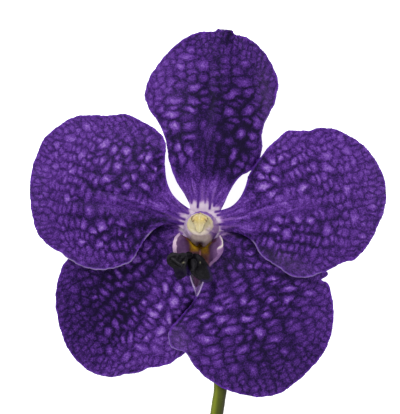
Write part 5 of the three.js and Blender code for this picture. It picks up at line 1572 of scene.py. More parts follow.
def column_colour(m):
    ob = m.coords()
    n, n2 = m.noise(ob, 500, 2.0), m.noise(ob, 1400, 2.0)
    lines = m.noise(m.vec(m.math("MULTIPLY", m.attr("turn"), 3.4), m.math("MULTIPLY", m.attr("up"), 0.10)), 1.0, 2.0)
    lines = m.step(lines, 0.44, 0.60)
    col = m.mix(m.math("MULTIPLY", m.math("MULTIPLY_ADD", n, 0.4, 0.6), lines), lin(188, 156, 200), lin(128, 80, 172))
    col = m.mix(m.attr("wan"), col, m.mix(m.step(n, 0.3, 0.7), lin(198, 172, 206), lin(222, 202, 222)))
    col = m.mix(m.math("MULTIPLY", m.attr("violet"), m.math("MULTIPLY_ADD", n, 0.5, 0.65), clamp=True), col, lin(116, 70, 164))
    # painted shade: a darker violet on the column's right flank and where the disc turns away from the light
    dusk = m.mix(m.step(lines, 0.2, 0.8), lin(136, 100, 148), lin(96, 60, 122))
    col = m.mix(m.math("MULTIPLY", m.attr("dusk"), m.math("MULTIPLY_ADD", n, 0.4, 0.75), clamp=True), col, dusk)
    col = m.mix(m.attr("face"), col, m.mix(m.step(n, 0.3, 0.7), lin(148, 126, 124), lin(170, 150, 146)))
    # painted shade darkening the face towards its foot
    col = m.mix(m.attr("blush"), col, lin(110, 84, 106))
    col = m.mix(m.attr("top"), col, m.mix(m.step(n, 0.3, 0.7), lin(204, 192, 152), lin(222, 210, 176)))
    col = m.mix(m.attr("tan"), col, lin(180, 164, 112))
    col = m.mix(m.attr("lipedge"), col, lin(222, 206, 190))
    # painted shadow in the notch and the hollow at the foot of the face
    col = m.mix(m.attr("cleft"), col, lin(48, 25, 42))
    return col, m.math("ADD", n, n2), 0.3


cp = column_part()
x, y, z = cp[0].T
top = smooth(20.15, 20.5, z) * cp[2]["up"]
ang = np.degrees(np.arctan2(y - 0.3, x - 0.1))
at = cp[2]
at["top"] = top * (1 - 0.65 * smooth(-1.5, -2.4, y))
at["lipedge"] = top * smooth(-1.2, -2.3, y)
at["tan"] = np.clip(top * (0.75 * spot(x, y, 2.7, 0.5, 0.7, 1.5, -8) + 0.55 * np.exp(-(((np.hypot((x + 0.02) / 3.3, (y - 0.05) / 2.7) - 0.98) / 0.05) ** 2)) * smooth(-1.9, -0.8, y)
                           + 0.4 * spot(x, y, -2.5, -0.6, 0.5, 0.8, 30) + 0.5 * spot(x, y, 1.9, -0.6, 0.4, 0.9, 30)), 0, 1)
face = (1 - top) * smooth(-1.7, -2.7, y) * (1 - smooth(2.0, 3.4, np.abs(x - 0.15) + 0.35 * (y + 2.5)))
at["face"] = np.clip(face, 0, 1)
# painted shade: the face darkens towards its foot
at["blush"] = np.clip(at["face"] * smooth(-4.4, -6.0, y) * 0.5, 0, 1)
at["violet"] = np.clip((1 - top) * (1.1 * np.exp(-(((ang - 84) / 46) ** 2)) * smooth(18.3, 19.9, z)
                                    + 0.9 * np.exp(-(((ang - 24) / 30) ** 2)) * smooth(18.2, 19.8, z)
                                    + 0.3 * np.exp(-(((ang + 148) / 16) ** 2)) * smooth(16.5, 18.2, z) * (1 - smooth(19.0, 19.8, z))), 0, 1)
# painted shade down the column's right flank
at["dusk"] = np.clip((1 - top) * (1 - at["face"]) * smooth(1.8, 2.8, x) * smooth(2.4, 0.6, y) * (1 - 0.55 * smooth(4.4, 5.0, x)) * 1.7, 0, 1)
# painted shadow in the notch and the hollow at the foot of the face
at["cleft"] = np.clip(0.9 * (1 - top) * np.exp(-((x + 0.05) / (0.38 + 0.45 * smooth(-4.4, -5.6, y))) ** 2) * smooth(-3.9, -4.9, y), 0, 1)
at["cleft"] = np.clip(np.maximum(at["cleft"], (1 - top) * np.exp(-((x / 1.45) ** 2) ** 1.8 - ((y + 4.85) / 0.9) ** 2)), 0, 1)
at["wan"] = 0.75 * (1 - top) * np.clip(smooth(106, 126, ang) + smooth(-118, -136, ang), 0, 1)
# painted shade where the disc and flank turn away from the light; it dims the cream and tan there
turned_away_shade = np.clip(spot(x, y, 2.4, -1.2, 1.0, 1.0) + 0.55 * spot(x, y, 3.15, 0.3, 0.5, 0.9) + 0.7 * spot(x, y, 1.5, 2.8, 0.8, 0.5, -38), 0, 1)
at["dusk"] = np.maximum(at["dusk"], turned_away_shade * top)
for key in ("top", "tan", "lipedge"):
    at[key] = at[key] * (1 - 0.85 * turned_away_shade)
chalk = (1 - top) * spot(x, y, 4.35, 0.95, 0.6, 0.9)
at["dusk"] = at["dusk"] * (1 - 0.8 * chalk)
at["violet"] = at["violet"] * (1 - 0.6 * chalk)
at["wan"] = np.maximum(at["wan"], 0.9 * chalk)
at["turn"] = np.arctan2(y - 0.2, x - 0.2)
del at["up"]
at["up"] = z
place("column_fine", [cp], tissue("column_tissue", column_colour, 0.30, Specular_IOR_Level=0.4), "column")

# ------------------------------------------- anther cap
CAP = [(0.06, 3.46), (-0.4, 3.22), (-1.25, 2.92), (-1.98, 2.5), (-2.44, 1.85), (-2.2, 1.1), (-1.6, 0.4), (-1.25, -0.7),
       (-1.0, -1.5), (-0.28, -1.98), (0.5, -1.5), (0.82, -0.7), (1.28, 0.4), (1.98, 1.1), (2.22, 1.75), (1.76, 2.35),
       (0.95, 2.88), (0.32, 3.25)]


def anther_part(sides=144):
    c = np.array([-0.12, 0.95])
    edge = spline(np.array(CAP + [CAP[0]]), sides + 1)[:-1]
    V, top = [], []
    for f, h in ((0.25, 20.86), (0.6, 20.86), (0.85, 20.88), (0.965, 20.93)):
        V.append(np.column_stack([c + (edge - c) * f, np.full(sides, h)]))
        top.append(np.zeros(sides))
    for f in (1.0, 0.992, 0.975, 0.95, 0.915, 0.875, 0.83, 0.78, 0.72, 0.66, 0.59, 0.52, 0.45, 0.37, 0.29, 0.2, 0.1):
        p = c + (edge - c) * f
        x, y = p.T
        dome = 1.45 * np.clip(1 - f ** 2.3, 0, 1) ** 0.62
        fall = smooth(1.4, -1.7, y)
        h = 21.02 + 0.22 * smooth(1.0, 0.93, f) + dome * (1 - 0.58 * fall)
        g = 1 - f ** 5
        h = h + g * 0.09 * np.exp(-((x + 0.1) / 0.17) ** 2) * smooth(3.2, 2.2, y) * smooth(-2.0, -0.4, y)
        h = h + g * 0.30 * (spot(x, y, -1.15, 1.65, 0.62, 0.7, 20) + spot(x, y, 0.95, 1.6, 0.62, 0.7, -20))
        h = h - g * 0.32 * (spot(x, y, -0.68, 0.1, 0.26, 0.6, 14) + spot(x, y, 0.5, 0.1, 0.26, 0.6, -14))
        h = h - g * 0.20 * (spot(x, y, -1.75, 0.95, 0.16, 0.6, -38) + spot(x, y, 1.6, 0.9, 0.16, 0.6, 40))
        h = h + g * 0.18 * spot(x, y, -0.25, -1.05, 0.42, 0.45) + 0.22 * spot(x, y, 0.06, 3.3, 0.22, 0.3)
        h = h + g * 0.04 * noise(x / 0.45, y / 0.45, 91)
        V.append(np.column_stack([p, h]))
        top.append(np.ones(sides))
    m = len(V)
    V, top = np.concatenate(V), np.concatenate(top)
    V = np.concatenate([V, [V[:sides].mean(0)], [V[(m - 1) * sides:].mean(0) + [0, 0, 0.01]]])
    top = np.concatenate([top, [0, 1]])
    i = np.arange(m - 1)[:, None] * sides
    j = np.arange(sides)[None, :]
    j1 = (j + 1) % sides
    F = np.stack([i + j, i + j1, i + sides + j1, i + sides + j], -1).reshape(-1, 4).tolist()
    for k in range(sides):
        k1 = (k + 1) % sides
        F.append([len(V) - 2, k1, k])
        F.append([len(V) - 1, (m - 1) * sides + k, (m - 1) * sides + k1])
    area = np.sum(edge[:, 0] * np.roll(edge[:, 1], -1) - np.roll(edge[:, 0], -1) * edge[:, 1])
    return V, (F if area > 0 else [f[::-1] for f in F]), dict(top=top)


def anther_colour(m):
    ob = m.coords()
    n, n2 = m.noise(ob, 800, 2.0), m.noise(ob, 2200, 2.0)
    col = m.mix(m.step(n, 0.3, 0.7), lin(208, 194, 146), lin(222, 210, 170))
    col = m.mix(m.math("MULTIPLY", m.attr("yolk"), m.math("MULTIPLY_ADD", n2, 0.6, 0.6), clamp=True), col, lin(210, 182, 88))
    col = m.mix(m.attr("gold"), col, lin(196, 170, 34))
    col = m.mix(m.attr("ridge"), col, lin(232, 222, 184))
    col = m.mix(m.attr("mauve"), col, lin(196, 168, 150))
    col = m.mix(m.attr("brown"), col, lin(112, 70, 18))
    return col, m.math("ADD", n, n2), 0.3


an = anther_part()
x, y, z = an[0].T
an[2]["yolk"] = np.clip(spot(x, y, -1.1, 1.7, 1.0, 1.1, 15) + spot(x, y, 0.95, 1.6, 1.0, 1.1, -15) + 0.6 * spot(x, y, -0.2, -0.2, 0.7, 1.2), 0, 1)
an[2]["gold"] = np.clip(0.8 * spot(x, y, 1.5, 2.35, 0.75, 0.16, -42) + 0.7 * spot(x, y, -1.0, 2.9, 0.8, 0.14, 22) + 0.8 * spot(x, y, 0.1, 3.35, 0.16, 0.3), 0, 0.9)
an[2]["ridge"] = 0.25 * np.exp(-((x + 0.1) / 0.2) ** 2) * smooth(3.3, 2.5, y) + 0.45 * spot(x, y, -0.15, -0.7, 0.75, 0.9)
an[2]["mauve"] = np.clip(0.55 * (spot(x, y, -1.1, 0.0, 0.3, 0.16) + spot(x, y, 0.75, 0.05, 0.35, 0.16)), 0, 1)
brown = 0.95 * spot(x, y, -1.85, 2.45, 0.42, 0.24, 38) + 0.95 * spot(x, y, -2.2, 1.75, 0.22, 0.5, -12) + 1.0 * spot(x, y, -1.85, 1.05, 0.2, 0.6, -34)
brown = brown + 1.1 * spot(x, y, 1.7, 1.15, 0.2, 0.66, 38) + 0.8 * spot(x, y, 2.05, 1.75, 0.2, 0.4, 12) + 0.9 * spot(x, y, -0.28, 3.08, 0.28, 0.16, 20)
brown = brown + 0.6 * spot(x, y, 0.5, 2.95, 0.3, 0.12, -32)
an[2]["brown"] = np.clip(brown * 1.15, 0, 0.95)
place("anther_cap_fine", [an], tissue("anther_tissue", anther_colour, 0.26, Specular_IOR_Level=0.45), "anther_cap")


# ------------------------------------------- lip
# The cup of the lip in rows from the column's foot outwards; each row runs from the folded margin of
# the left side lobe down its wall, across the throat and up to the folded margin of the right one.
CUP = [
    [(-5.30, -2.40, 17.9), (-5.47, -2.10, 17.6), (-5.25, -2.45, 17.0), (-4.6, -2.9, 16.0), (-3.7, -3.3, 15.2), (-1.8, -4.2, 14.0), (0, -4.4, 13.6),
     (1.8, -4.4, 14.0), (3.6, -3.9, 15.2), (4.4, -3.5, 16.0), (5.05, -3.1, 17.0), (5.3, -2.80, 17.6), (5.15, -3.10, 17.9)],
    [(-6.42, -3.60, 18.6), (-6.75, -3.25, 18.2), (-6.40, -3.6, 17.3), (-4.9, -4.0, 16.0), (-3.0, -4.35, 15.2), (-1.7, -5.1, 14.2), (0, -5.3, 13.7),
     (1.6, -5.2, 14.2), (2.85, -4.75, 15.2), (4.4, -4.5, 16.0), (5.6, -4.1, 17.4), (6.0, -3.85, 18.2), (5.6, -4.25, 18.7)],
    [(-6.70, -4.9, 19.0), (-7.3, -4.65, 18.7), (-6.9, -4.9, 17.6), (-5.0, -5.2, 15.9), (-2.5, -5.3, 15.3), (-1.3, -5.9, 14.8), (0, -6.15, 14.3),
     (1.2, -6.0, 14.8), (2.3, -5.6, 15.3), (4.4, -5.6, 16.0), (5.85, -5.4, 17.6), (6.28, -5.25, 18.6), (5.55, -5.5, 19.0)],
    [(-6.60, -6.1, 19.1), (-7.45, -6.0, 18.8), (-7.0, -6.1, 17.6), (-5.0, -6.4, 15.7), (-2.3, -6.4, 15.3), (-1.1, -6.8, 15.0), (0, -7.0, 14.8),
     (1.1, -6.9, 15.0), (2.2, -6.6, 15.3), (4.2, -6.8, 15.8), (5.7, -6.7, 17.2), (6.3, -6.6, 18.3), (4.7, -6.5, 18.9)],
    [(-6.35, -7.5, 18.7), (-7.05, -7.55, 18.3), (-6.7, -7.6, 17.2), (-4.9, -7.8, 15.6), (-2.2, -7.9, 15.1), (-1.0, -8.2, 14.9), (0, -8.3, 14.9),
     (1.0, -8.2, 14.9), (2.1, -8.0, 15.1), (4.0, -8.2, 15.5), (5.4, -8.2, 16.7), (6.0, -8.0, 17.5), (5.1, -7.9, 18.0)],
    [(-5.5, -9.0, 17.9), (-6.1, -9.1, 17.5), (-5.7, -9.2, 16.6), (-4.2, -9.3, 15.4), (-2.0, -9.4, 14.9), (-0.9, -9.6, 14.8), (0, -9.7, 14.8),
     (0.9, -9.6, 14.8), (1.9, -9.5, 14.9), (3.5, -9.5, 15.2), (4.7, -9.4, 16.0), (5.2, -9.3, 16.6), (4.6, -9.2, 16.9)],
    [(-3.9, -10.2, 16.9), (-4.4, -10.5, 16.6), (-4.1, -10.6, 16.0), (-3.0, -10.7, 15.3), (-1.7, -10.8, 14.9), (-0.8, -10.9, 14.9), (0, -10.9, 14.9),
     (0.8, -10.8, 14.9), (1.7, -10.7, 14.9), (2.9, -10.5, 15.2), (3.7, -10.2, 15.7), (4.1, -10.1, 16.1), (3.7, -9.95, 16.3)],
    [(-2.4, -11.3, 16.2), (-2.6, -11.6, 16.0), (-2.4, -11.7, 15.7), (-1.9, -11.8, 15.3), (-1.2, -11.8, 15.1), (-0.6, -11.9, 15.0), (0, -11.9, 15.0),
     (0.6, -11.8, 15.0), (1.3, -11.7, 15.1), (2.1, -11.5, 15.3), (2.6, -11.2, 15.5), (2.95, -11.0, 15.7), (2.6, -10.9, 15.8)]]
CUP = np.array(CUP)
for row, left, right in ((1, 0.22, -0.1), (2, 0.28, -0.3), (3, 0.32, -0.28), (4, 0.24, -0.5), (5, 0.1, -0.85), (6, 0.0, -0.7), (7, 0.0, -0.25)):
    CUP[row, :4, 0] += np.array([1, 1, 0.8, 0.3]) * left
    CUP[row, -4:, 0] += np.array([0.3, 0.8, 1, 1]) * right
ARM_LEFT = [(-3.6, -2.95), (-3.1, -3.55), (-2.4, -4.35), (-1.85, -5.25), (-1.5, -6.1), (-1.4, -7.4)]
ARM_RIGHT = [(3.9, -3.75), (3.1, -4.2), (2.35, -4.9), (1.75, -5.6), (1.5, -6.4), (1.55, -7.6), (1.5, -9.0)]


def cup_part():
    def relief(u, v, G):
        x, y = G[..., 0], G[..., 1]
        return 0.09 * noise(x / 1.5, y / 1.5, 61) + 0.05 * noise(x / 0.6, y / 0.6, 62)
    p = plate(np.array(CUP)[::-1], 200, 110, 0.40, 0.11, relief)
    p[2]["v"] = 1 - p[2]["v"]
    V = p[0]
    u, v = p[2]["u"], p[2]["v"]
    # the folded margins are ragged
    x, y = V[:, 0], V[:, 1]
    left, right = 1 - smooth(0.0, 0.075, u), smooth(0.925, 1.0, u)
    jag = 0.26 * noise(y / 1.3, np.full(len(y), 1.3), 63) + 0.10 * noise(y / 0.45, np.full(len(y), 4.3), 64)
    V[:, 0] = x + (left - right) * jag * smooth(0.02, 0.12, v)
    return p


RIDGE_LEFT = [(-3.3, -3.3), (-2.8, -4.0), (-2.35, -4.7), (-1.9, -5.5), (-1.3, -6.15), (-0.8, -6.5)]
RIDGE_RIGHT = [(3.7, -4.0), (3.1, -4.25), (2.5, -4.75), (1.95, -5.4), (1.4, -6.05), (0.9, -6.5)]
HOOK = [(5.25, -2.75), (5.85, -3.55), (6.15, -4.5), (6.12, -5.2), (5.7, -5.75), (5.2, -6.05), (4.75, -6.3)]


def cup_marks(p):
    x, y, z = p[0].T
    a = p[2]
    u, v, back = a["u"], a["v"], a["back"]
    dl, wl = near(x, y, RIDGE_LEFT)
    dr, wr = near(x, y, RIDGE_RIGHT)
    wobble = 0.15 * noise(x / 0.6, y / 0.9, 65)
    # the yellow of the throat, browning down the lip
    half = 2.55 + wobble + 0.25 * smooth(-5.5, -4.2, y)
    field = smooth(half + 0.42, half - 0.38, np.abs(x + 0.12)) * smooth(-3.2, -3.9, y)
    left = x < 0
    down = np.where(left, smooth(-6.6, -7.6, y), smooth(-7.0, -9.0, y))
    a["gold"] = np.clip(field * (1 - 0.75 * down), 0, 1) * (1 - back)
    # painted highlight: brighter gold along the two ridges of the throat
    a["glint"] = np.clip(0.95 * np.exp(-((dl / 0.42) ** 2)) * smooth(0.1, 0.35, wl) * (1 - 0.7 * smooth(0.8, 1.0, wl))
                         + 0.95 * np.exp(-((dr / 0.42) ** 2)) * smooth(0.1, 0.35, wr) * (1 - 0.7 * smooth(0.8, 1.0, wr)), 0, 1)
    edge = np.abs(np.abs(x + 0.12) - half)
    a["red"] = np.clip(0.75 * np.exp(-((dl - 0.45) / 0.3) ** 2) * (x < -2.2) * smooth(0.45, 0.1, wl)
                       + 0.7 * np.exp(-((dr - 0.40) / 0.3) ** 2) * (x > 2.4) * smooth(0.5, 0.1, wr)
                       + 0.45 * spot(x, y, 1.3, -9.1, 0.36, 1.2, 22) + 0.3 * field * down * (x > 0), 0, 1)
    a["brown"] = np.clip(0.9 * spot(x, y, 0.0, -6.9, 0.5, 0.9) + 0.75 * spot(x, y, 1.5, -8.6, 0.8, 1.2, 14) + 0.9 * spot(x, y, 0.55, -8.6, 0.42, 1.0, 10)
                         + 0.7 * spot(x, y, -0.9, -7.7, 0.9, 0.35) + 0.55 * np.exp(-((edge / 0.35) ** 2)) * smooth(-4.6, -5.6, y) * smooth(-8.8, -7.0, y), 0, 0.9)
    a["pink"] = 0.85 * spot(x, y, 0.02, -7.5, 0.17, 0.8)
    # the walls are darker next to the throat, partly their own colour and partly painted shade, with a painted shadow
    # on the lower right wall
    reach = np.where(left, 3.6, 2.3)
    a["deep"] = np.clip((1 - smooth(0.2, reach, np.abs(x + 0.12) - 2.4)) * smooth(-2.2, -4.2, y) * (1 - 0.4 * smooth(-6.5, -9.0, y)) + 0.45 * spot(x, y, 3.2, -9.6, 0.8, 1.1), 0, 1)
    # margins: a pale fold on the left, a narrow cream hem that hooks inwards on the right
    fold_l = 1 - smooth(0.058, 0.094, u)
    dh, wh = near(x, y, HOOK)
    hem_and_sheen = np.exp(-((dh / (0.30 + 0.08 * noise(y / 0.4, x / 0.4, 66))) ** 4)) * (u > 0.8)
    a["pale"] = np.clip(fold_l * (1 - 0.35 * smooth(0.35, 0.6, v)) * smooth(0.0, 0.05, v), 0, 1)
    # where the left wall meets the column it is wine red, with the yellow ridge drawn up along it
    dw, ww = near(x, y, [(-4.7, -2.6), (-4.0, -3.15), (-3.4, -3.75)])
    a["red"] = np.clip(np.maximum(a["red"], 0.8 * np.exp(-(((dw - 0.05) / 0.3) ** 2))), 0, 1)
    dg, wg = near(x, y, [(-3.35, -3.6), (-2.55, -4.25), (-1.95, -5.05)])
    a["gold"] = np.clip(np.maximum(a["gold"], 0.85 * np.exp(-((dg / 0.3) ** 2))), 0, 1) * (1 - back)
    a["brown"] = np.clip(np.maximum(a["brown"], 0.5 * spot(x, y, -3.35, -4.8, 0.75, 0.75, 45)), 0, 0.9)
    a["cream"] = np.clip(0.95 * hem_and_sheen + fold_l * (1 - smooth(0.2, 0.42, v)) * 0.4, 0, 1)
    inset = 0.035 * smooth(0.45, 0.75, v)
    a["lilac"] = np.clip(smooth(0.875 + inset, 0.925 + inset, u) * smooth(0.34, 0.44, v) + 0.6 * smooth(-4.2, -3.2, y) * (np.abs(x) > 3.6), 0, 1)
    return p


def lip_colour(m):
    ob = m.coords()
    n, n2, n3 = m.noise(ob, 600, 2.0), m.noise(ob, 2400, 2.0), m.noise(ob, 900, 3.0, 0.65)
    # side lobes: mauve, darker towards the throat, partly their own colour and partly painted shade, with a pale rolled
    # margin
    col = m.mix(m.step(n, 0.3, 0.75), lin(126, 86, 144), lin(154, 114, 168))
    col = m.mix(m.attr("deep"), col, m.mix(m.step(n, 0.3, 0.7), lin(64, 30, 74), lin(84, 48, 96)))
    col = m.mix(m.attr("pale"), col, lin(214, 182, 212))
    col = m.mix(m.attr("cream"), col, lin(228, 212, 212))
    col = m.mix(m.math("MULTIPLY", m.attr("lilac"), 0.8), col, m.mix(m.step(n, 0.3, 0.7), lin(128, 90, 146), lin(158, 120, 166)))
    col = m.mix(m.attr("red"), col, lin(98, 34, 44))
    col = m.mix(m.attr("gold"), col, m.mix(m.step(n2, 0.3, 0.7), lin(122, 82, 16), lin(146, 102, 22)))
    # painted highlight along the throat's ridges
    col = m.mix(m.attr("glint"), col, lin(186, 144, 26))
    col = m.mix(m.attr("brown"), col, lin(62, 34, 20))
    col = m.mix(m.attr("pink"), col, lin(160, 104, 120))
    # middle lobe: nearly black velvet, with a painted dull greyish sheen along its folds
    velvet = m.mix(m.step(n3, 0.35, 0.7), lin(8, 6, 11), lin(20, 18, 25))
    velvet = m.mix(m.math("MULTIPLY", m.attr("fold"), m.math("MULTIPLY_ADD", n2, 0.8, 0.45), clamp=True), velvet, lin(58, 55, 62))
    velvet = m.mix(m.attr("plum"), velvet, lin(44, 24, 80))
    # painted highlight spots on the velvet
    velvet = m.mix(m.attr("speck"), velvet, lin(150, 146, 120))
    col = m.mix(m.attr("mid"), col, velvet)
    return col, m.math("ADD", n, m.math("MULTIPLY", n2, 1.5)), 0.45


def lobe(key, nu, nv, thick):
    """One wing of the middle lobe: a thick crumpled plate."""
    spec = BLADES[key]
    zf = height(spec)
    L, R = LOBE_EDGE[key][0], LOBE_EDGE[key][1]
    L, R = spline(np.array(L, float), nv + 1), spline(np.array(R, float), nv + 1)
    vv, uu = np.meshgrid(np.linspace(0, 1, nv + 1), np.linspace(0, 1, nu + 1), indexing="ij")
    XY = L[:, None, :] * (1 - uu[..., None]) + R[:, None, :] * uu[..., None]
    x, y = XY[..., 0], XY[..., 1]
    z = zf(x, y) + LOBE_RELIEF[key](x, y)
    if key == "lip_lobe_left":
        # it passes under the right wing
        over = height(BLADES["lip_lobe_right"])(x, y) + relief_right(x, y) - 0.75
        z = z - smooth(-4.1, -3.05, x) * smooth(-8.0, -9.4, y) * np.maximum(0, z - over)
    G = np.dstack([x, y, z])
    N = np.cross(np.gradient(G, axis=1), np.gradient(G, axis=0))
    N /= np.maximum(np.linalg.norm(N, axis=2, keepdims=True), 1e-9)
    turned_down = np.mean(N[..., 2]) < 0
    if turned_down:
        N = -N
    uf, vf = uu.ravel(), vv.ravel()
    e = np.minimum(np.minimum(uf, 1 - uf) * 3, np.minimum(vf, 1 - vf) * 3)
    th = thick * (0.5 + 0.5 * smooth(0, 0.8, e))
    V, F, src, back, U, W, mid = sheet(lambda u, v: (G.reshape(-1, 3), N.reshape(-1, 3)), nu, nv, lambda u, v, p: th, -0.14 if turned_down else 0.14)
    if turned_down:
        F = [f[::-1] for f in F]
    return V, F, dict(mid=np.ones(len(V)), back=back)


def ridged(x, y, seed):
    """Crumpled velvet: sharp creases between soft bulges."""
    a, b = noise(x / 1.7, y / 1.5, seed), noise(x / 0.8 + 3.1, y / 0.7, seed + 1)
    return 0.34 * (1 - 2 * np.sqrt(a * a + 0.012)) + 0.09 * (1 - 2 * np.sqrt(b * b + 0.02))


def relief_left(x, y):
    crumple = smooth(-11.2, -9.6, y + 0.55 * (x + 6))
    h = crumple * ridged(x, y, 17) + 0.05 * noise(x / 0.3, y / 0.3, 18)
    # the upper half is folded back over a deep crease that runs down to the right
    d, w = near(x, y, [(-8.2, -8.9), (-7.3, -9.25), (-6.5, -9.9), (-5.6, -10.55), (-4.9, -10.85)])
    h = h - 0.55 * np.exp(-((d / 0.22) ** 2)) * smooth(0.0, 0.1, w) * (1 - smooth(0.9, 1.0, w))
    d, w = near(x, y, [(-7.3, -8.85), (-6.6, -9.45), (-5.7, -10.15), (-4.9, -10.5)])
    h = h + 0.55 * np.exp(-((d / 0.26) ** 2))
    d, w = near(x, y, [(-3.9, -8.3), (-4.35, -9.0), (-4.9, -9.6)])
    h = h - 0.5 * np.exp(-((d / 0.2) ** 2))
    d, w = near(x, y, [(-2.4, -8.6), (-3.2, -9.3), (-4.0, -10.1)])
    h = h + 0.4 * np.exp(-((d / 0.35) ** 2))
    h = h + 0.35 * spot(x, y, -7.0, -8.0, 1.0, 0.35, 8) + 0.3 * spot(x, y, -2.7, -7.9, 1.0, 0.35, -10)
    return h - 1.7 * smooth(-3.9, -2.9, x) - 0.9 * smooth(-2.95, -2.35, x) - 0.6 * smooth(-4.4, -3.4, x) * smooth(-10.4, -12.2, y)


def relief_right(x, y):
    h = 0.35 * ridged(x, y, 27) + 0.04 * noise(x / 0.3, y / 0.3, 28)
    # a fold down from the middle of the lip, then a smooth flap
    d, w = near(x, y, [(-2.2, -8.7), (-1.2, -8.9), (-0.6, -9.8), (-0.7, -11.0), (-1.3, -12.0)])
    h = h - 0.35 * np.exp(-((d / 0.22) ** 2))
    d, w = near(x, y, [(-2.2, -9.2), (-1.7, -10.2), (-1.8, -11.4)])
    h = h + 0.30 * np.exp(-((d / 0.5) ** 2))
    h = h + 0.5 * spot(x, y, 0.6, -12.0, 1.0, 2.2, -28)
    d, w = near(x, y, [(-1.9, -12.6), (-0.8, -13.7), (0.6, -14.6), (2.0, -14.9)])
    h = h + 0.12 * np.exp(-((d / 0.2) ** 2)) - 0.14 * np.exp(-(((d - 0.35) / 0.2) ** 2))
    return h + 1.2 * smooth(-0.9, -2.6, x) * smooth(-8.6, -10.2, y)


LOBE_EDGE = dict(
    lip_lobe_left=([(-1.85, -10.2), (-2.05, -11.2), (-2.25, -12.3), (-2.5, -13.2), (-3.1, -13.6), (-3.8, -13.45), (-4.6, -14.0), (-5.5, -14.45), (-6.2, -14.0), (-6.7, -12.6), (-7.0, -11.6), (-8.0, -10.8), (-8.6, -10.2), (-8.8, -9.5)],
                   [(-1.5, -8.15), (-1.7, -7.95), (-1.95, -7.7), (-2.3, -7.4), (-3.2, -7.15), (-3.8, -7.5), (-4.6, -7.4), (-5.4, -7.65), (-6.3, -7.5), (-7.3, -7.34), (-8.1, -7.76), (-8.75, -8.7)]),
    lip_lobe_right=([(-1.5, -7.62), (-0.3, -7.95), (0.8, -8.7), (1.4, -9.6), (2.1, -10.65), (2.7, -11.9), (3.1, -12.95), (3.3, -14.1), (3.1, -14.8), (2.4, -15.15)],
                    [(-2.75, -8.15), (-3.05, -9.2), (-3.1, -10.3), (-2.95, -11.4), (-2.5, -12.3), (-2.0, -13.1), (-1.25, -13.85), (-0.3, -14.5), (0.9, -15.1), (1.8, -15.25)]))
LOBE_RELIEF = dict(lip_lobe_left=relief_left, lip_lobe_right=relief_right)
lip_parts = [cup_marks(cup_part())]
neck = loft([(-0.6, -9.6, 14.6, 1.5, 1.0), (-0.8, -9.5, 16.2, 1.3, 0.9), (-1.1, -9.4, 17.2, 1.25, 0.85), (-1.4, -9.5, 17.9, 1.0, 0.7)], 40, 24, caps=("flat", "round"))
neck[2]["mid"] = smooth(14.8, 16.0, neck[0][:, 2])
lip_parts.append(neck)
for key, nu, nv in (("lip_lobe_left", 110, 130), ("lip_lobe_right", 100, 120)):
    p = lobe(key, nu, nv, 0.6)
    x, y, z = p[0].T
    if key == "lip_lobe_left":
        d1, w1 = near(x, y, [(-7.3, -8.85), (-6.6, -9.45), (-5.7, -10.15), (-5.0, -10.5)])
        d2, w2 = near(x, y, [(-2.4, -8.6), (-3.2, -9.3), (-4.0, -10.1)])
        fold = 0.85 * np.exp(-((d1 / 0.16) ** 2)) + 0.35 * np.exp(-((d2 / 0.3) ** 2)) + 0.30 * spot(x, y, -2.6, -7.7, 1.4, 0.3, -8)
        fold = fold + 0.30 * smooth(-9.6, -8.2, y) + 0.25 * spot(x, y, -5.7, -13.4, 1.0, 0.25, 60)
        # painted highlight: a small pale spot on the edge of a folded ridge
        p[2]["speck"] = 0.85 * spot(x, y, -4.45, -9.95, 0.30, 0.16, 25)
        fold = fold + 0.75 * spot(x, y, -3.35, -9.1, 0.6, 0.7)
        web = smooth(-3.9, -3.2, x) * smooth(-10.4, -11.4, y)
        p[2]["plum"] = np.clip(0.22 * smooth(-10.8, -12.4, y) + 0.8 * web, 0, 1)
        fold = fold * (1 - web)
    else:
        d1, w1 = near(x, y, [(-1.9, -12.6), (-0.8, -13.7), (0.6, -14.6), (2.0, -14.9)])
        fold = 0.30 * spot(x, y, -1.6, -10.8, 0.8, 1.5, 8) + 0.25 * np.exp(-((d1 / 0.22) ** 2)) + 0.25 * spot(x, y, -0.2, -8.6, 1.0, 0.3, -38)
        p[2]["speck"] = 0.55 * spot(x, y, 0.05, -9.95, 0.14, 0.24)
        p[2]["plum"] = 0.75 * np.exp(-((near(x, y, [(2.3, -11.2), (2.9, -12.8), (3.1, -14.2), (2.3, -15.0), (0.6, -14.9)])[0] / 0.38) ** 2))
    h = LOBE_RELIEF[key](x, y)
    if key == "lip_lobe_right":
        h = h - 1.2 * smooth(-0.9, -2.6, x) * smooth(-8.6, -10.2, y) - 0.5 * spot(x, y, 0.6, -12.0, 1.0, 2.2, -28) - 0.2 * spot(x, y, -0.2, -11.8, 0.9, 1.6)
    # painted sheen: the velvet is painted lighter on its folds and ridges
    p[2]["fold"] = np.clip(fold + 0.35 * smooth(0.05, 0.5, h) - 0.3 * smooth(0.0, -0.35, h), 0, 1)
    lip_parts.append(p)
spur = loft(LOFTS["spur"], 40, 40, caps=("flat", "round"))
spur[2]["brown"] = np.full(len(spur[0]), 0.35)
# the spur is painted darker, partly its own colour and partly painted shade where it lies in the gap
spur[2]["deep"] = np.clip(0.9 + 0.2 * np.sin(spur[2]["ang"] * 5 + 0.6 * noise(spur[2]["t"] * 9, spur[2]["ang"], 71)) + 0.25 * (1 - spur[2]["t"]), 0, 1)
lip_parts.append(spur)
place("lip_fine", lip_parts, tissue("lip_tissue", lip_colour, 0.5, Specular_IOR_Level=0.08), "lip")


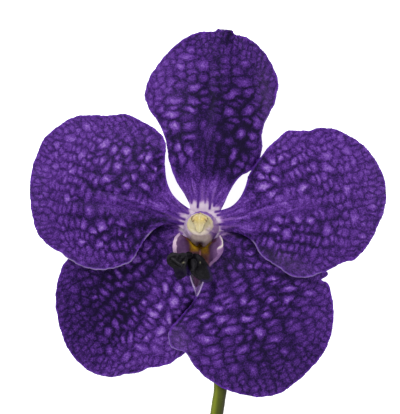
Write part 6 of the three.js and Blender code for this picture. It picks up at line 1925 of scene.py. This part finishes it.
# ------------------------------------------- pedicel, with the ribbed ovary at its top
def stalk_colour(m):
    n = m.noise(m.coords((1, 0.12, 1)), 1100, 2.0)
    n2 = m.noise(m.coords(), 2600, 1.0)
    col = m.ramp(m.attr("t"), [(0.0, lin(222, 200, 230)), (0.34, lin(240, 214, 248)), (0.44, lin(160, 138, 156)),
                               (0.60, lin(84, 94, 18)), (1.0, lin(72, 80, 16))])
    # painted light and shade: the lower stalk is lighter along its left side and darker along its right
    col = m.mix(m.attr("lit"), col, lin(150, 162, 38))
    col = m.mix(m.attr("shade"), col, lin(38, 34, 14))
    col = m.mix(m.math("MULTIPLY", m.step(n, 0.45, 0.8), 0.45), col, lin(60, 64, 12))
    col = m.mix(m.attr("rib"), col, lin(222, 206, 226))
    # painted light: the top of the ovary seen in the gap is painted a very bright lilac, standing in for light that the
    # shade there takes away
    col = m.mix(m.attr("lilac"), col, lin(286, 256, 300))
    # painted shadow on the stalk's top under the spur
    col = m.mix(m.attr("gloom"), col, lin(58, 44, 66))
    col = m.mix(m.math("MULTIPLY", m.step(n2, 0.6, 0.8), 0.25), col, lin(128, 136, 60))
    return col, n, 0.3


def ribs(ang, t, r):
    fade = 1 - smooth(0.22, 0.5, t)
    return 1 + 0.09 * fade * np.cos(6 * ang + 3.0 * t) + 0.012 * np.cos(11 * ang + 2 * t)


stalk = loft(LOFTS["pedicel"], 72, 160, shape=ribs, caps=("flat", "flat"))
stalk[2]["rib"] = 0.5 * smooth(0.4, 1.0, np.cos(6 * stalk[2]["ang"] + 3.0 * stalk[2]["t"])) * (1 - smooth(0.2, 0.45, stalk[2]["t"]))
rings = {}
for t, sx in zip(np.round(stalk[2]["t"], 5), stalk[0][:, 0]):
    rings.setdefault(t, []).append(sx)
across = np.array([(sx - np.mean(rings[t])) / max(np.ptp(rings[t]) / 2, 0.05) for t, sx in zip(np.round(stalk[2]["t"], 5), stalk[0][:, 0])])
low = smooth(0.45, 0.6, stalk[2]["t"])
# painted light and shade across the lower stalk: lighter on the left, darker on the right
stalk[2]["lit"] = 0.6 * low * np.exp(-(((across + 0.6) / 0.4) ** 2))
stalk[2]["shade"] = 0.85 * low * smooth(0.0, 1.0, across)
# the cut end runs straight and is a touch stouter
half = np.array([max(np.ptp(rings[t]) / 2, 0.05) for t in np.round(stalk[2]["t"], 5)])
stalk[0][:, 0] += 0.12 * low * across * half + np.interp(-stalk[0][:, 1], [36.0, 41.0, 42.9, 44.6, 47.25, 50.0], [0.0, 0.5, 0.48, 0.22, -0.1, 0.0])
heights = {}
for t, sz in zip(np.round(stalk[2]["t"], 5), stalk[0][:, 2]):
    heights.setdefault(t, []).append(sz)
upward = np.array([(sz - np.mean(heights[t])) / max(np.ptp(heights[t]) / 2, 0.05) for t, sz in zip(np.round(stalk[2]["t"], 5), stalk[0][:, 2])])
upper = smooth(0.15, 0.6, upward)
# painted light: the top of the ovary seen in the gap is painted a very bright lilac to make up for the shade there
stalk[2]["lilac"] = 0.85 * upper * smooth(-13.0, -15.0, stalk[0][:, 1]) * smooth(-21.5, -19.5, stalk[0][:, 1])
# painted shadow on the stalk's top under the spur
stalk[2]["gloom"] = 0.9 * upper * smooth(-17.2, -15.7, stalk[0][:, 1])
place("pedicel_fine", [stalk], tissue("stalk_tissue", stalk_colour, 0.5, Specular_IOR_Level=0.15), "pedicel")

# ---------------------------------------------------------------- floor, light, camera
bpy.ops.mesh.primitive_plane_add(size=6.0, location=(0, 0, -0.00002))
floor = bpy.context.object
floor.name = "floor"
fm = Nodes("pale_floor")
fm.put(fm.bsdf.inputs["Base Color"], fm.mix(fm.noise(fm.coords(), 3.0), (0.955, 0.955, 0.955), (0.97, 0.97, 0.97)))
fm.bsdf.inputs["Roughness"].default_value = 0.9
fm.bsdf.inputs["Specular IOR Level"].default_value = 0.1
fm.bsdf.inputs["Emission Color"].default_value = (1, 1, 1, 1)
fm.bsdf.inputs["Emission Strength"].default_value = GLOW
floor.data.materials.append(fm.mat)

world = bpy.data.worlds.new("studio")
bpy.context.scene.world = world
world.use_nodes = True
bg = world.node_tree.nodes["Background"]
bg.inputs[0].default_value = (1.0, 1.0, 1.0, 1)
bg.inputs[1].default_value = 0.72


def area(name, loc, size, power, target=(0, 0, 0.01), colour=(1, 1, 1)):
    L = bpy.data.lights.new(name, "AREA")
    L.shape = "RECTANGLE"
    L.size, L.size_y = size
    L.energy = power
    L.color = colour
    o = bpy.data.objects.new(name, L)
    bpy.context.collection.objects.link(o)
    o.location = loc
    o.rotation_euler = (Vector(target) - Vector(loc)).to_track_quat("-Z", "Y").to_euler()
    return o


area("key", (-0.55, 0.75, 1.1), (0.6, 0.6), 11.0)
area("fill", (0.8, 0.1, 1.0), (0.8, 0.8), 4.0)
area("low", (0.1, -0.9, 0.8), (0.8, 0.5), 3.0)

cam_data = bpy.data.cameras.new("camera")
cam = bpy.data.objects.new("camera", cam_data)
bpy.context.collection.objects.link(cam)
MM_PER_PX = 0.27
DIST = 1.0                                   # above the blades
cam_data.sensor_fit = "HORIZONTAL"
cam_data.sensor_width = 36.0
cam_data.lens = 36.0 * DIST * 1000 / (400 * MM_PER_PX)
cam_data.clip_start, cam_data.clip_end = 0.05, 20.0
mid_px = (200.0, 207.0)
look = (np.array([(mid_px[0] - 200) * MM_PER_PX, (225 - mid_px[1]) * MM_PER_PX, 8.0]) + SHIFT) * 0.001
cam.location = (look[0], look[1], look[2] + DIST)
cam.rotation_euler = (0, 0, 0)
bpy.context.scene.camera = cam
bpy.context.scene.view_settings.view_transform = "Standard"
bpy.context.scene.view_settings.look = "None"
